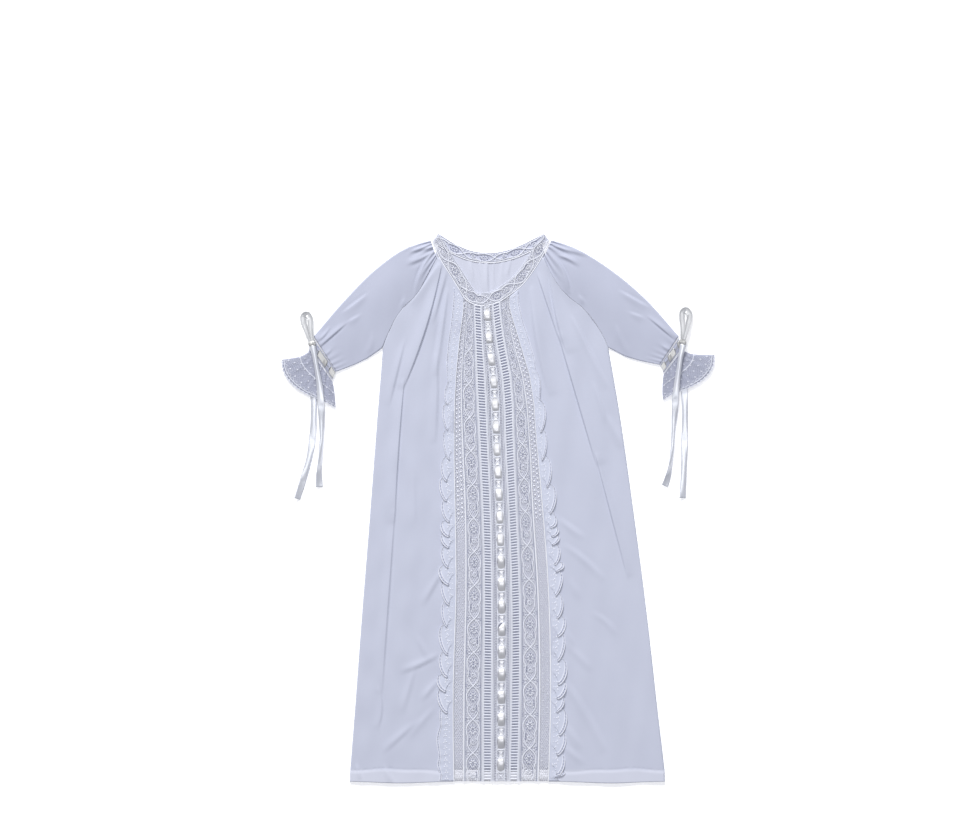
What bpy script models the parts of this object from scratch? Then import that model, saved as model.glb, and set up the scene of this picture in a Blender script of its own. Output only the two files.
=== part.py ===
"""Baby gown of fine batiste and lace, laid flat on a table with its front up.

The gown lies in the XY plane: the neck is towards +Y, the hem towards -Y, and left is -X, as it is
seen from above. Every size here is in millimetres. The back lies on the table and the front lies on
the back, so each ring of cloth (neck, sleeves, cuffs, flounces) is pressed flat with a fold at each
end. Each piece is an open surface through rows of points, and Solidify gives the cloth its wall.
"""

import math

import bmesh
import bpy
import numpy as np

# Driving sizes
MM = 0.001
SEAM = 0.3            # gap between pieces that are sewn together, and between layers
BATISTE = 1.2         # wall of the plain cloth
LACE = 1.0            # wall of laces, net and edgings
SATIN = 1.0           # wall of the ribbons
HEM_DEPTH = 13.0
HEM_STEP = 0.5        # the turned hem is thicker
BAND_WIDTH = 14.4     # neck band, at the front
BAND_BACK_WIDTH = 11.5
RIBBON_WIDTH = 8.0
CUFF_BAND_WIDTH = 8.0
BEADING_PITCH = 26.0  # one window and one bar of the centre beading
BEADING_BAR = 9.0
BEADING_TOP = 232.0   # upper end of the first window
BEADING_WINDOWS = 21
RIBBON_BULGE = 2.4    # how far the centre ribbon stands up through a window
RUFFLE_PITCH = 13.2   # one wave of a ruffle
RUFFLE_STEPS = 3      # rows of points in a wave
RUFFLE_RISE = 3.2
SLEEVE_COLUMNS = 18   # across the front of a sleeve
SLEEVE_PUFF = 2.4
NECK_GATHERS = 4      # of each sleeve, at the neck band
CUFF_GATHERS = 6      # of each sleeve, at the cuff
CUFF_WINDOWS = 3
CUFF_BULGE = 1.9      # how far a cuff ribbon stands up through a window
RIBBON_HALF = 2.1     # half the width of the cuff ribbon inside the band
FLOUNCE_WAVES = 9
FLOUNCE_RISE = 2.4

# Levels of the layers
FRONT_Z = BATISTE + SEAM                 # underside of the front
ON_FRONT_Z = FRONT_Z + BATISTE + SEAM    # underside of what lies on the front
BEADING_Z = FRONT_Z + SATIN + SEAM       # underside of the centre beading, over its ribbon
CUFF_FRONT_Z = 2 * SATIN + 2 * SEAM      # underside of a cuff band's front, over its ribbon
UNDER_FLOUNCE = SATIN + SEAM             # room below a flounce for the tail that lies there
KNOT_SIZE = (8.0, 8.0, 4.6)
KNOT_Z = CUFF_FRONT_Z + LACE + 3 * SEAM  # on the band, clear of the ribbon that bulges through it

# Heights of the rows of points that all the panels share
NECK_ROW = 289.5
UNDERARM_ROW = 185.0
HEM_ROW = -315.6
BACK_HEM = -314.0     # the back's hem, just inside the front's
BACK_DIP = 274.0      # row of the back's middle, below the neck band
PANEL_TOP = 240.0     # where the lace panel meets the neck band
LEAST_RAILS = 1.6     # both side rails of the beading together, where it is narrowest
UPPER_ROWS = 11
LOWER_ROWS = 15
FRONT_COLUMNS = 12

# Raglan seams: height, left seam, right seam
RAGLAN = (
    (290.4, -70.1, 51.7),
    (266.0, -83.5, 63.2),
    (244.2, -95.6, 80.0),
    (232.4, -108.6, 95.6),
    (217.6, -119.1, 108.8),
    (200.0, -127.4, 120.0),
    (185.0, -133.0, 127.0),
    (170.0, -137.0, 132.4),
)

# Side folds of the body: height, left side, right side
SIDES = (
    (200.0, -132.0, 124.4),
    (185.0, -133.0, 127.0),
    (124.7, -137.8, 137.5),
    (0.0, -147.4, 155.6),
    (-138.5, -158.2, 173.4),
    (-250.0, -166.6, 185.8),
    (-305.0, -171.0, 192.2),
    (-318.0, -171.8, 192.8),
)

# Seams of the lace panel: height, then the left edge of the left net, of the left floral strip, of
# the left ladder, of the beading, of the right ladder, of the right floral strip and of the right
# net, and the right edge of the right net. The panel is drawn in towards the neck.
STRIP_SEAMS = (
    (260.0, -39.5, -35.5, -28.0, -18.9, -8.6, 1.4, 8.4, 11.4),
    (234.4, -40.3, -36.2, -28.6, -18.7, -7.7, 2.7, 10.2, 13.4),
    (194.0, -45.1, -39.8, -27.4, -17.0, -3.9, 8.0, 16.6, 24.6),
    (147.8, -49.5, -42.4, -26.2, -13.7, 3.7, 16.2, 28.8, 37.9),
    (78.5, -51.3, -41.0, -23.1, -10.6, 6.6, 19.3, 35.8, 44.6),
    (0.0, -50.0, -37.6, -19.6, -7.4, 10.4, 22.4, 39.6, 51.6),
    (-83.1, -48.9, -36.9, -17.8, -5.8, 13.3, 26.0, 45.0, 57.8),
    (-221.7, -52.4, -39.3, -19.0, -5.8, 13.2, 26.4, 47.6, 60.8),
    (-318.0, -51.4, -39.7, -19.0, -6.1, 11.4, 24.2, 45.6, 58.4),
)

# Plain strips of the lace panel, and the seam at each one's left edge
STRIPS = (
    ("net_left", 0),
    ("floral_left", 1),
    ("ladder_left", 2),
    ("ladder_right", 4),
    ("floral_right", 5),
    ("net_right", 6),
)

# Ruffles: top and foot, then the width at the top and lower down
RUFFLE_LEFT = (246.0, -312.0, 8.0, 13.0)
RUFFLE_RIGHT = (240.0, -312.0, 8.0, 15.0)

# Seam edge of the neck band at the front, from shoulder to shoulder: x, y
NECK_FRONT = (
    (-75.9, 307.6),
    (-69.2, 291.6),
    (-54.1, 266.7),
    (-44.9, 252.0),
    (-37.2, 240.4),
    (-26.8, 234.6),
    (-11.8, 234.2),
    (2.1, 238.6),
    (13.6, 246.2),
    (28.3, 258.0),
    (40.0, 273.0),
    (51.6, 291.9),
    (59.2, 308.0),
)

# Seam edge of the neck band at the back: x, y
NECK_BACK = (
    (59.2, 308.0),
    (38.0, 296.4),
    (17.0, 287.6),
    (-8.5, 283.0),
    (-34.0, 286.0),
    (-55.0, 294.6),
    (-75.9, 307.6),
)

# Tips of the neck band, where its neck edge folds at each shoulder: x, y
SHOULDER_LEFT = (-68.9, 316.7)
SHOULDER_RIGHT = (52.9, 316.7)

# Upper fold of each sleeve, from the neck band to the cuff seam: x, y
SLEEVE_TOP_LEFT = ((-77.7, 307.6), (-101.8, 300.6), (-136.5, 277.9), (-172.3, 243.2), (-213.2, 195.6))
SLEEVE_TOP_RIGHT = ((61.0, 308.0), (84.0, 300.7), (123.3, 277.9), (166.0, 243.2), (208.6, 196.0))

# Underarm seam of each sleeve, from the body to the cuff seam: x, y
UNDERARM_LEFT = ((-134.4, 184.2), (-146.9, 174.9), (-164.5, 166.0), (-186.9, 157.4))
UNDERARM_RIGHT = ((127.4, 186.0), (138.0, 178.6), (158.0, 171.4), (186.7, 165.5))

# Free edge of each flounce, from its upper corner to its lower corner: x, y
FLOUNCE_EDGE_LEFT = (
    (-250.4, 171.4),
    (-248.6, 158.7),
    (-239.7, 144.4),
    (-226.5, 134.0),
    (-211.7, 127.2),
    (-200.0, 122.2),
    (-187.6, 115.4),
)
FLOUNCE_EDGE_RIGHT = (
    (250.56, 177.0),
    (248.2, 162.6),
    (239.7, 150.3),
    (227.9, 142.0),
    (211.7, 135.3),
    (201.3, 130.8),
    (189.8, 124.2),
)

# Folds that stand up on the side fronts. They follow the columns of points, which fan out from the
# neck to the hem, column 0 at the side and column 12 at the lace panel. A soft fold also lifts the
# columns beside it: side, column, top height, bottom height, rise, share of the rise beside it
FRONT_FOLDS = (
    (-1, 2, 252.0, -20.0, 2.2, 0.3),
    (-1, 4, 282.0, 96.0, 3.0, 0.2),
    (-1, 5, 120.0, -230.0, 1.8, 0.5),
    (-1, 6, 286.0, 140.0, 2.6, 0.1),
    (-1, 8, 284.0, 84.0, 2.8, 0.2),
    (-1, 2, -30.0, -270.0, 2.4, 0.5),
    (-1, 8, -60.0, -296.0, 1.6, 0.5),
    (1, 2, 240.0, 20.0, 2.0, 0.3),
    (1, 4, 278.0, 30.0, 3.2, 0.3),
    (1, 6, 286.0, 120.0, 2.8, 0.1),
    (1, 8, 284.0, 100.0, 2.4, 0.2),
    (1, 6, 90.0, -200.0, 1.8, 0.5),
    (1, 3, -10.0, -280.0, 2.2, 0.5),
    (1, 8, -110.0, -298.0, 1.6, 0.5),
)

# Where the hem dips below HEM_ROW: x of the lowest place, half width
HEM_DIP = 1.9
HEM_DIPS = ((-112.0, 60.0), (130.0, 62.0))

# Soft folds of the back's inside in the neck opening: x, half width, height
BACK_FOLDS = ((-23.0, 5.5, 0.9), (-12.0, 5.5, 1.2), (-2.0, 5.5, 0.9))

# Loop of each cuff ribbon: x, y, z of the ribbon's middle, and its width
LOOP_LEFT = (
    (-217.2, 196.8, 5.4, 4.0),
    (-221.6, 206.0, 2.2, 6.0),
    (-224.2, 216.0, 0.6, 7.0),
    (-224.0, 223.0, 0.6, 7.4),
    (-220.4, 225.6, 1.8, 7.0),
    (-217.4, 220.6, 3.4, 6.6),
    (-216.6, 209.0, 5.2, 5.6),
    (-215.4, 196.9, 7.2, 4.0),
)
LOOP_RIGHT = (
    (213.0, 198.5, 5.4, 4.0),
    (213.2, 209.0, 2.2, 6.0),
    (212.6, 220.0, 0.6, 7.0),
    (213.4, 227.6, 0.6, 7.4),
    (217.4, 230.2, 1.8, 7.0),
    (219.4, 224.4, 3.4, 6.6),
    (218.6, 212.0, 5.2, 5.6),
    (214.6, 198.6, 7.2, 4.0),
)

# Knots of the cuff ribbons, over the upper fold of each cuff: x, y
KNOT_LEFT = (-215.6, 192.6)
KNOT_RIGHT = (213.4, 194.4)

# Tails of the cuff ribbons: x, y, z of the ribbon's underside, and how far it is rolled on edge
TAIL_OVER_LEFT = (
    (-214.6, 188.4, 6.4, 0.0),
    (-211.6, 176.0, 6.0, 0.0),
    (-208.6, 161.6, 6.0, 0.0),
    (-205.9, 145.0, 6.0, 0.0),
    (-204.2, 118.0, 6.0, 0.0),
    (-203.6, 100.0, 1.6, 10.0),
    (-203.4, 84.0, 0.0, 25.0),
    (-204.4, 68.0, 0.0, 45.0),
    (-205.6, 50.0, 0.0, 50.0),
    (-206.6, 36.0, 0.0, 30.0),
    (-206.3, 24.2, 0.0, 15.0),
)
TAIL_UNDER_LEFT = (
    (-215.8, 164.0, 0.0, 0.0),
    (-214.6, 154.0, 0.0, 0.0),
    (-213.2, 136.0, 0.0, 0.0),
    (-212.9, 110.0, 0.0, 0.0),
    (-214.6, 78.0, 0.0, 0.0),
    (-218.8, 54.0, 0.0, 10.0),
    (-225.2, 32.0, 0.0, 20.0),
    (-231.9, 10.4, 0.0, 30.0),
)
TAIL_OVER_RIGHT = (
    (213.4, 189.6, 6.4, 0.0),
    (210.2, 177.0, 6.0, 0.0),
    (207.6, 161.6, 6.0, 0.0),
    (205.8, 145.0, 6.0, 0.0),
    (204.4, 126.0, 6.0, 0.0),
    (203.4, 106.0, 1.6, 10.0),
    (202.2, 88.0, 0.0, 25.0),
    (200.6, 66.0, 0.0, 45.0),
    (198.6, 48.0, 0.0, 50.0),
    (195.6, 35.0, 0.0, 30.0),
    (192.4, 25.4, 0.0, 15.0),
)
TAIL_UNDER_RIGHT = (
    (215.8, 167.0, 0.0, 0.0),
    (215.4, 156.0, 0.0, 0.0),
    (215.2, 134.0, 0.0, 0.0),
    (215.6, 110.0, 0.0, 0.0),
    (215.2, 78.0, 0.0, 0.0),
    (214.4, 44.0, 0.0, 10.0),
    (212.8, 11.5, 0.0, 20.0),
)

# Colours in linear light, with roughness
CLOTH_COLOUR = (0.56, 0.58, 0.70)
LACE_COLOUR = (0.52, 0.53, 0.64)
TULLE_COLOUR = (0.44, 0.46, 0.56)
SATIN_COLOUR = (0.78, 0.79, 0.82)


def spline(stations, values, at):
    """Smooth curve through the values at the stations, read at one place."""
    slopes = np.gradient(values, stations, axis=0)
    k = int(np.clip(np.searchsorted(stations, at) - 1, 0, len(stations) - 2))
    step = stations[k + 1] - stations[k]
    t = (at - stations[k]) / step
    stay, go = 2 * t**3 - 3 * t**2 + 1, 3 * t**2 - 2 * t**3
    leave, arrive = t**3 - 2 * t**2 + t, t**3 - t**2
    ends = stay * values[k] + go * values[k + 1]
    return ends + step * (leave * slopes[k] + arrive * slopes[k + 1])


def along(points, shares):
    """Points at the given shares (0 to 1) of the length of a smooth curve through the points."""
    points = np.array(points, float)
    walked = np.concatenate([[0.0], np.cumsum(np.linalg.norm(np.diff(points, axis=0), axis=1))])
    return np.array([spline(walked, points, share * walked[-1]) for share in shares])


def x_at(table, column, height):
    """The x of one column of a table whose first column is the height."""
    rows = np.array(table, float)
    rows = rows[np.argsort(rows[:, 0])]
    return float(spline(rows[:, 0], rows[:, column], height))


def crossing(points, height):
    """The x where a polyline of (x, y) that rises or falls all the way passes a height."""
    points = np.array(points, float)
    points = points[np.argsort(points[:, 1])]
    return float(np.interp(height, points[:, 1], points[:, 0]))


def beside(points, distance):
    """A polyline moved sideways: a positive distance is to the left of its direction."""
    points = np.array(points, float)
    run = np.gradient(points[:, :2], axis=0)
    run /= np.linalg.norm(run, axis=1)[:, None]
    moved = points.copy()
    moved[:, 0] -= run[:, 1] * distance
    moved[:, 1] += run[:, 0] * distance
    return moved


def between(start, end, shares):
    """Points on the straight line between two points."""
    start, end = np.array(start, float), np.array(end, float)
    return [start + (end - start) * share for share in shares]


def swell(share):
    """0 at both ends, 1 in the middle, smooth."""
    return math.sin(math.pi * min(max(share, 0.0), 1.0)) ** 2


def bump(distance, half_width):
    """1 on the line of a fold, 0 at its foot and beyond."""
    if abs(distance) >= half_width:
        return 0.0
    return 0.5 + 0.5 * math.cos(math.pi * distance / half_width)


def fold_height(side, column, y):
    """How far the folds lift one column of a side front at one height."""
    height = 0.0
    for fold_side, fold_column, top, bottom, rise, beside_it in FRONT_FOLDS:
        apart = abs(column - fold_column)
        if fold_side == side and bottom < y < top and apart < 2:
            length_share = swell((y - bottom) / (top - bottom)) ** 0.5
            height = max(height, rise * length_share * (1.0 if apart == 0 else beside_it))
    return height


def back_fold_height(x, y):
    """How far the soft folds lift the back inside the neck opening."""
    if not 258.0 < y < 279.0:
        return 0.0
    return max(rise * bump(x - middle, half_width) for middle, half_width, rise in BACK_FOLDS)


def cloth_material(name, colour, roughness):
    material = bpy.data.materials.new(name)
    material.use_nodes = True
    shader = material.node_tree.nodes["Principled BSDF"]
    shader.inputs["Base Color"].default_value = (*colour, 1.0)
    shader.inputs["Roughness"].default_value = roughness
    shader.inputs["Metallic"].default_value = 0.0
    return material


def cloth_piece(name, grid, wall, colour, roughness, keep=None, ring=False):
    """A piece of cloth: a surface through a grid of points, thickened on its upper or outer side.

    keep says which cells of the grid are cloth, and ring joins the last row to the first.
    """
    grid = np.array(grid, float) * MM
    rows, columns = grid.shape[:2]
    shape = bmesh.new()
    corner = {}

    def vertex(row, column):
        key = (row % rows, column)
        if key not in corner:
            corner[key] = shape.verts.new(grid[key])
        return corner[key]

    for row in range(rows if ring else rows - 1):
        for column in range(columns - 1):
            if keep is None or keep(row, column):
                cell = ((row, column), (row, column + 1), (row + 1, column + 1), (row + 1, column))
                shape.faces.new([vertex(*place) for place in cell])
    mesh = bpy.data.meshes.new(name)
    shape.to_mesh(mesh)
    shape.free()
    mesh.shade_smooth()
    mesh.materials.append(cloth_material(name, colour, roughness))
    piece = bpy.data.objects.new(name, mesh)
    gown.objects.link(piece)
    solid = piece.modifiers.new("Wall", "SOLIDIFY")
    solid.thickness = wall * MM
    solid.offset = 1.0
    solid.use_quality_normals = True
    return piece


def row_heights():
    """Heights of the shared rows, from the neck down to the hem."""
    upper = np.linspace(NECK_ROW, UNDERARM_ROW, UPPER_ROWS + 1)
    lower = np.linspace(UNDERARM_ROW, HEM_ROW + HEM_DEPTH, LOWER_ROWS + 1)[1:]
    return [*upper, *lower, HEM_ROW + HEM_DEPTH - 1.0, HEM_ROW]


def strip_edge(seam, height):
    """x of one seam of the lace panel, seam 0 at its left edge and 7 at its right."""
    above = max([y for y in heights if y <= height], default=heights[-1])
    below = min([y for y in heights if y > height], default=heights[0])
    ends = x_at(STRIP_SEAMS, seam + 1, above), x_at(STRIP_SEAMS, seam + 1, below)
    return float(np.interp(height, (above, below), ends))


def below_neck(x):
    """Height of a point one seam's gap below the neck band's front seam edge."""
    edge = neck_front[:, 0], neck_front[:, 1]
    slope = (np.interp(x + 0.5, *edge) - np.interp(x - 0.5, *edge))
    return float(np.interp(x, *edge)) - SEAM * math.hypot(1.0, slope) * 1.5


def hem_drop(x):
    """The hem dips a little towards its middle on each side front."""
    return max(HEM_DIP * bump(x - middle, half_width) for middle, half_width in HEM_DIPS)


bpy.ops.object.select_all(action="DESELECT")
for startup_object in list(bpy.data.objects):
    bpy.data.objects.remove(startup_object, do_unlink=True)
gown = bpy.data.collections.new("Baby gown")
bpy.context.scene.collection.children.link(gown)

# The neck band's seam edge, with a point at each shared row and at each seam of the lace panel
heights = row_heights()
neck_curve = along(NECK_FRONT, np.linspace(0.0, 1.0, 121))
lowest = int(np.argmin(neck_curve[:, 1]))
left_flank, right_flank = neck_curve[: lowest + 1], neck_curve[lowest:]
flank_heights = [305.0, 298.0] + [y for y in heights if y > 247.5]
neck_front = [neck_curve[0]]
neck_front += [(crossing(left_flank, y), y) for y in flank_heights]
for seam in range(8):
    seam_x = strip_edge(seam, 243.0)
    neck_front.append((seam_x, float(np.interp(seam_x, neck_curve[:, 0], neck_curve[:, 1]))))
neck_front += [(crossing(right_flank, y), y) for y in reversed(flank_heights)]
neck_front.append(neck_curve[-1])
neck_front = np.array(neck_front)
neck_back = along(NECK_BACK, np.linspace(0.0, 1.0, 17))


def make_neck_band():
    """Ring of insertion lace, pressed flat: the front stretch, a fold, the back stretch, a fold."""
    upper = beside(neck_front, BAND_WIDTH)
    upper[0], upper[-1] = SHOULDER_LEFT, SHOULDER_RIGHT
    front = [between((*edge, FRONT_Z), (*seam, FRONT_Z), (0, 0.5, 1))
             for seam, edge in zip(neck_front, upper)]
    inner = beside(neck_back, -BAND_BACK_WIDTH)
    inner[0], inner[-1] = upper[-1], upper[0]
    back = [between((*edge, BATISTE), (*seam, BATISTE), (0, 0.5, 1))
            for seam, edge in zip(neck_back, inner)]
    rows = [*front, fold_row(front[-1], 1), *back, fold_row(front[0], -1)]
    return cloth_piece("neck_band", rows, BATISTE, LACE_COLOUR, 0.85, ring=True)


def fold_row(row, side):
    """The row on the fold of a ring that is pressed flat, just outside its last row."""
    row = np.array(row)
    run = row[-1] - row[0]
    out = np.array((run[1], -run[0], 0.0)) / math.hypot(run[0], run[1]) * SEAM / 2
    middle = row + out * (1 if out[0] * side > 0 else -1)
    middle[:, 2] = BATISTE + (row[:, 2] - BATISTE) / 2
    return middle


def make_front(name, side):
    """One side front, from its raglan seam and side fold to the lace panel."""
    outer_column = 1 if side < 0 else 2
    seam = 0 if side < 0 else 7
    flank = left_flank if side < 0 else right_flank
    lowest_neck = neck_curve[lowest][1]
    rows = []
    for y in heights:
        outer_x = x_at(RAGLAN if y > UNDERARM_ROW else SIDES, outer_column, y)
        neck_x, strip_x = crossing(flank, y), strip_edge(seam, y)
        if y > lowest_neck and (neck_x - strip_x) * side > 0:
            inner_x = neck_x + SEAM * 1.35 * side
        else:
            inner_x = strip_x + SEAM / 2 * side
        row = []
        for column in range(FRONT_COLUMNS + 1):
            share = column / FRONT_COLUMNS
            lift = HEM_STEP if y < HEM_ROW + HEM_DEPTH else fold_height(side, column, y)
            x = outer_x + (inner_x - outer_x) * share
            low = hem_drop(x) if y <= HEM_ROW else 0.0
            row.append((x, y - low, FRONT_Z + lift))
        rows.append(row if side < 0 else row[::-1])
    return cloth_piece(name, rows[::-1], BATISTE, CLOTH_COLOUR, 0.8)


def make_back():
    """The back, flat on the table. Its inside shows in the neck opening, with a few soft folds.

    The columns of points are closer together where the folds are.
    """
    shares = [0.0, 0.12, 0.24, *np.linspace(0.32, 0.74, 12), 0.82, 0.91, 1.0]
    left, right = x_at(RAGLAN, 1, NECK_ROW) + 2 * SEAM, x_at(RAGLAN, 2, NECK_ROW) - 2 * SEAM
    top_row, middle_row = [], []
    for share, (x, y) in zip(shares, along(neck_back[::-1], shares)):
        top_row.append((x + SEAM * 2 * (1 - 2 * share), y - SEAM * 2, 0.0))
        x = left + (right - left) * share
        edge = abs(2 * share - 1) ** 4
        middle = NECK_ROW * edge + BACK_DIP * (1 - edge)
        middle_row.append((x, middle, back_fold_height(x, middle)))
    rows = [top_row, middle_row]
    upper_rows = [y for y in heights if UNDERARM_ROW <= y < BACK_DIP - 3.0]
    lower_rows = [y for y in heights if y < UNDERARM_ROW][::5]
    for y in [*upper_rows, *lower_rows, BACK_HEM]:
        table = RAGLAN if y > UNDERARM_ROW else SIDES
        left, right = x_at(table, 1, y) + SEAM, x_at(table, 2, y) - SEAM
        row = []
        for share in shares:
            x = left + (right - left) * share
            row.append((x, y, back_fold_height(x, y)))
        rows.append(row)
    return cloth_piece("back", rows[::-1], BATISTE, CLOTH_COLOUR, 0.8)


def make_strip(name, seam):
    """One strip of the lace panel, between two of its seams, from the neck band to the hem."""
    def ends(left_y, right_y, z):
        left = strip_edge(seam, left_y) + SEAM / 2
        right = strip_edge(seam + 1, right_y) - SEAM / 2
        return [(left, left_y, z), (right, right_y, z)]

    tops = [below_neck(strip_edge(edge, PANEL_TOP)) for edge in (seam, seam + 1)]
    rows = [ends(*tops, FRONT_Z)]
    for y in heights:
        if y < min(tops) - 3.0:
            rows.append(ends(y, y, FRONT_Z + (HEM_STEP if y < HEM_ROW + HEM_DEPTH else 0.0)))
    return cloth_piece(name, rows[::-1], BATISTE, LACE_COLOUR, 0.85)


def make_centre_beading():
    """Beading strip with a window for each stretch of ribbon that shows."""
    left, right = strip_edge(3, PANEL_TOP) + SEAM, strip_edge(4, PANEL_TOP) - SEAM
    rows = [beading_row(left, below_neck(left), right, below_neck(right))]
    for k in range(BEADING_WINDOWS):
        top = BEADING_TOP - k * BEADING_PITCH
        for y in (top, top - BEADING_PITCH + BEADING_BAR):
            rows.append(beading_row(strip_edge(3, y) + SEAM, y, strip_edge(4, y) - SEAM, y))
    rows.append(beading_row(strip_edge(3, HEM_ROW) + SEAM, HEM_ROW, strip_edge(4, HEM_ROW) - SEAM, HEM_ROW))

    def keep(row, column):
        return column != 1 or row % 2 == 0

    return cloth_piece("centre_beading", rows[::-1], LACE, LACE_COLOUR, 0.85, keep=keep)


def beading_row(left, left_y, right, right_y):
    """Four points across the beading: its edges and the sides of its windows."""
    window = min(RIBBON_WIDTH + 2 * SEAM, right - left - LEAST_RAILS)
    rail = (1 - window / (right - left)) / 2
    return between((left, left_y, BEADING_Z), (right, right_y, BEADING_Z), (0, rail, 1 - rail, 1))


def make_centre_ribbon():
    """Satin ribbon: low under each bar of the beading, and standing up through each window."""
    window = BEADING_PITCH - BEADING_BAR
    profile = ((0.9, 0.0), (4.5, 0.85), (window / 2, 1.0), (window - 4.5, 0.85), (window - 0.9, 0.0))
    rows = []
    for k in range(BEADING_WINDOWS):
        for down, lift in profile:
            y = BEADING_TOP - k * BEADING_PITCH - down
            middle = (strip_edge(3, y) + strip_edge(4, y)) / 2
            half = min(RIBBON_WIDTH, strip_edge(4, y) - strip_edge(3, y) - 2 * LEAST_RAILS) / 2
            z = FRONT_Z + RIBBON_BULGE * lift
            rows.append([(middle - half, y, z), (middle + half, y, z)])
    return cloth_piece("centre_ribbon", rows[::-1], SATIN, SATIN_COLOUR, 0.35)


def make_ruffle(name, side, top, foot, narrow, wide):
    """Gathered lace edging: sewn down along the lace panel, waved along its free edge."""
    seam = 0 if side < 0 else 7
    count = int((top - foot) / RUFFLE_PITCH) * RUFFLE_STEPS
    rows = []
    for k in range(count + 1):
        share = k / count
        y = top + (foot - top) * share
        sewn = strip_edge(seam, y) - side * 0.4
        turn = 2 * math.pi * k / RUFFLE_STEPS
        wave = 0.5 + 0.5 * math.sin(turn + 0.9 * math.sin(turn / 5.3))
        width = narrow + (wide - narrow) * min(1.0, share * 3.0) + 1.6 * math.sin(turn * 0.37 + 1.0)
        calm = 1.0 - 0.75 * max(0.0, share - 0.82) / 0.18
        lean = 1.5 * math.cos(turn) * calm
        low = ON_FRONT_Z + (HEM_STEP if y < HEM_ROW + HEM_DEPTH + RUFFLE_PITCH else 0.0)
        row = [(sewn, y, low),
               (sewn + side * width * 0.55, y + lean * 0.4, low + RUFFLE_RISE / 2 * wave * calm),
               (sewn + side * width, y + lean, low + RUFFLE_RISE * wave * calm)]
        rows.append(row if side > 0 else row[::-1])
    return cloth_piece(name, rows[::-1], LACE, LACE_COLOUR, 0.85)


def make_sleeve(name, side, top_points, underarm_points):
    """Raglan sleeve: folded along its top, with its two edges meeting at the underarm seam.

    Each section runs from the front edge over the upper fold to the back edge.
    """
    column = 1 if side < 0 else 2
    upper = [y for y in heights if y >= UNDERARM_ROW]
    raglan = [(x_at(RAGLAN, column, y), y) for y in upper]
    raglan = beside(raglan, side * SEAM * 1.1)
    underarm = along(underarm_points, (0.1, 0.35, 0.6, 0.8, 1.0))
    lower_edge = [*raglan, *underarm]
    stations = np.linspace(0.0, 1.0, len(lower_edge)) ** 0.92
    upper_edge = along(top_points, stations)
    rows = []
    for low, high, share in zip(lower_edge, upper_edge, stations):
        section = []
        for column in range(SLEEVE_COLUMNS + 1):
            across = column / SLEEVE_COLUMNS
            lift = sleeve_lift(across, share)
            section.append((*(low + (high - low) * across), FRONT_Z + lift))
        section.append(fold_point(low, high, section[-1]))
        section += [(*(high + (low - high) * across), BATISTE) for across in (0.0, 0.25, 0.5, 0.75, 1.0)]
        rows.append(section)
    return cloth_piece(name, rows if side < 0 else rows[::-1], BATISTE, CLOTH_COLOUR, 0.8)


def sleeve_lift(across, share):
    """How far the front of a sleeve stands up, across it and at a share of its length from the neck."""
    rim = min(1.0, 6 * across, 6 * (1 - across))
    puff = SLEEVE_PUFF * swell(0.12 + 0.76 * share) * swell(across) ** 0.6
    neck_wave = (0.5 - 0.5 * math.cos(2 * math.pi * NECK_GATHERS * across)) * max(0.0, 1 - 2.2 * share)
    cuff_wave = (0.5 - 0.5 * math.cos(2 * math.pi * CUFF_GATHERS * across)) * max(0.0, 2.6 * share - 1.6)
    return rim * (puff + 1.3 * neck_wave + 1.1 * cuff_wave)


def fold_point(low, high, edge):
    """The point on a section's fold, just outside its last front point."""
    run = (np.array(high) - np.array(low)) / np.linalg.norm(np.array(high) - np.array(low))
    place = np.array(edge[:2]) + run * SEAM / 2
    return (*place, (edge[2] + BATISTE) / 2)


def cuff_line(side, distance):
    """The two ends of the line across a cuff, at a distance beyond the cuff seam."""
    high = np.array((SLEEVE_TOP_LEFT if side < 0 else SLEEVE_TOP_RIGHT)[-1])
    low = np.array((UNDERARM_LEFT if side < 0 else UNDERARM_RIGHT)[-1])
    run = (high - low) / np.linalg.norm(high - low)
    out = np.array((run[1], -run[0])) * (1 if run[1] * side > 0 else -1)
    return low + out * distance, high + out * distance


def flat_ring(name, near, far, level, wall, colour, columns, keep=None):
    """A ring of cloth pressed flat, between a near line and a far line across it.

    near and far hold the same number of front points, columns the shares of the way from near to
    far, and level(out, across, front) gives the height of the hollow's side of each layer.
    """
    last = len(near) - 1

    def row(k, front):
        return [(*(near[k] + (far[k] - near[k]) * out), level(out, k / last, front)) for out in columns]

    def fold(k, inward):
        away = (near[k] - near[inward]) / np.linalg.norm(near[k] - near[inward])
        points = []
        for x, y, z in row(k, True):
            low = level(columns[len(points)], k / last, False)
            x, y = np.array((x, y)) + away * (z - low) / 2
            points.append((x, y, (z + low) / 2))
        return points

    rows = [row(k, True) for k in range(last + 1)]
    rows.append(fold(last, last - 1))
    rows += [row(k, False) for k in range(last, -1, -3)]
    rows.append(fold(0, 1))
    return cloth_piece(name, rows, wall, colour, 0.85, keep=keep, ring=True)


def cuff_band_level(out, across, front):
    return CUFF_FRONT_Z if front else SATIN


def flounce_level(out, across, front):
    """The flounce's back lifts off the table for a tail, and its front stands up in waves."""
    if not front:
        return LACE + UNDER_FLOUNCE * min(1.0, out * 5)
    wave = 0.5 - 0.5 * math.cos(2 * math.pi * FLOUNCE_WAVES * across)
    rim = min(1.0, 8 * across, 8 * (1 - across))
    return CUFF_FRONT_Z + rim * wave * FLOUNCE_RISE * (0.2 + 0.8 * out)


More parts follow.
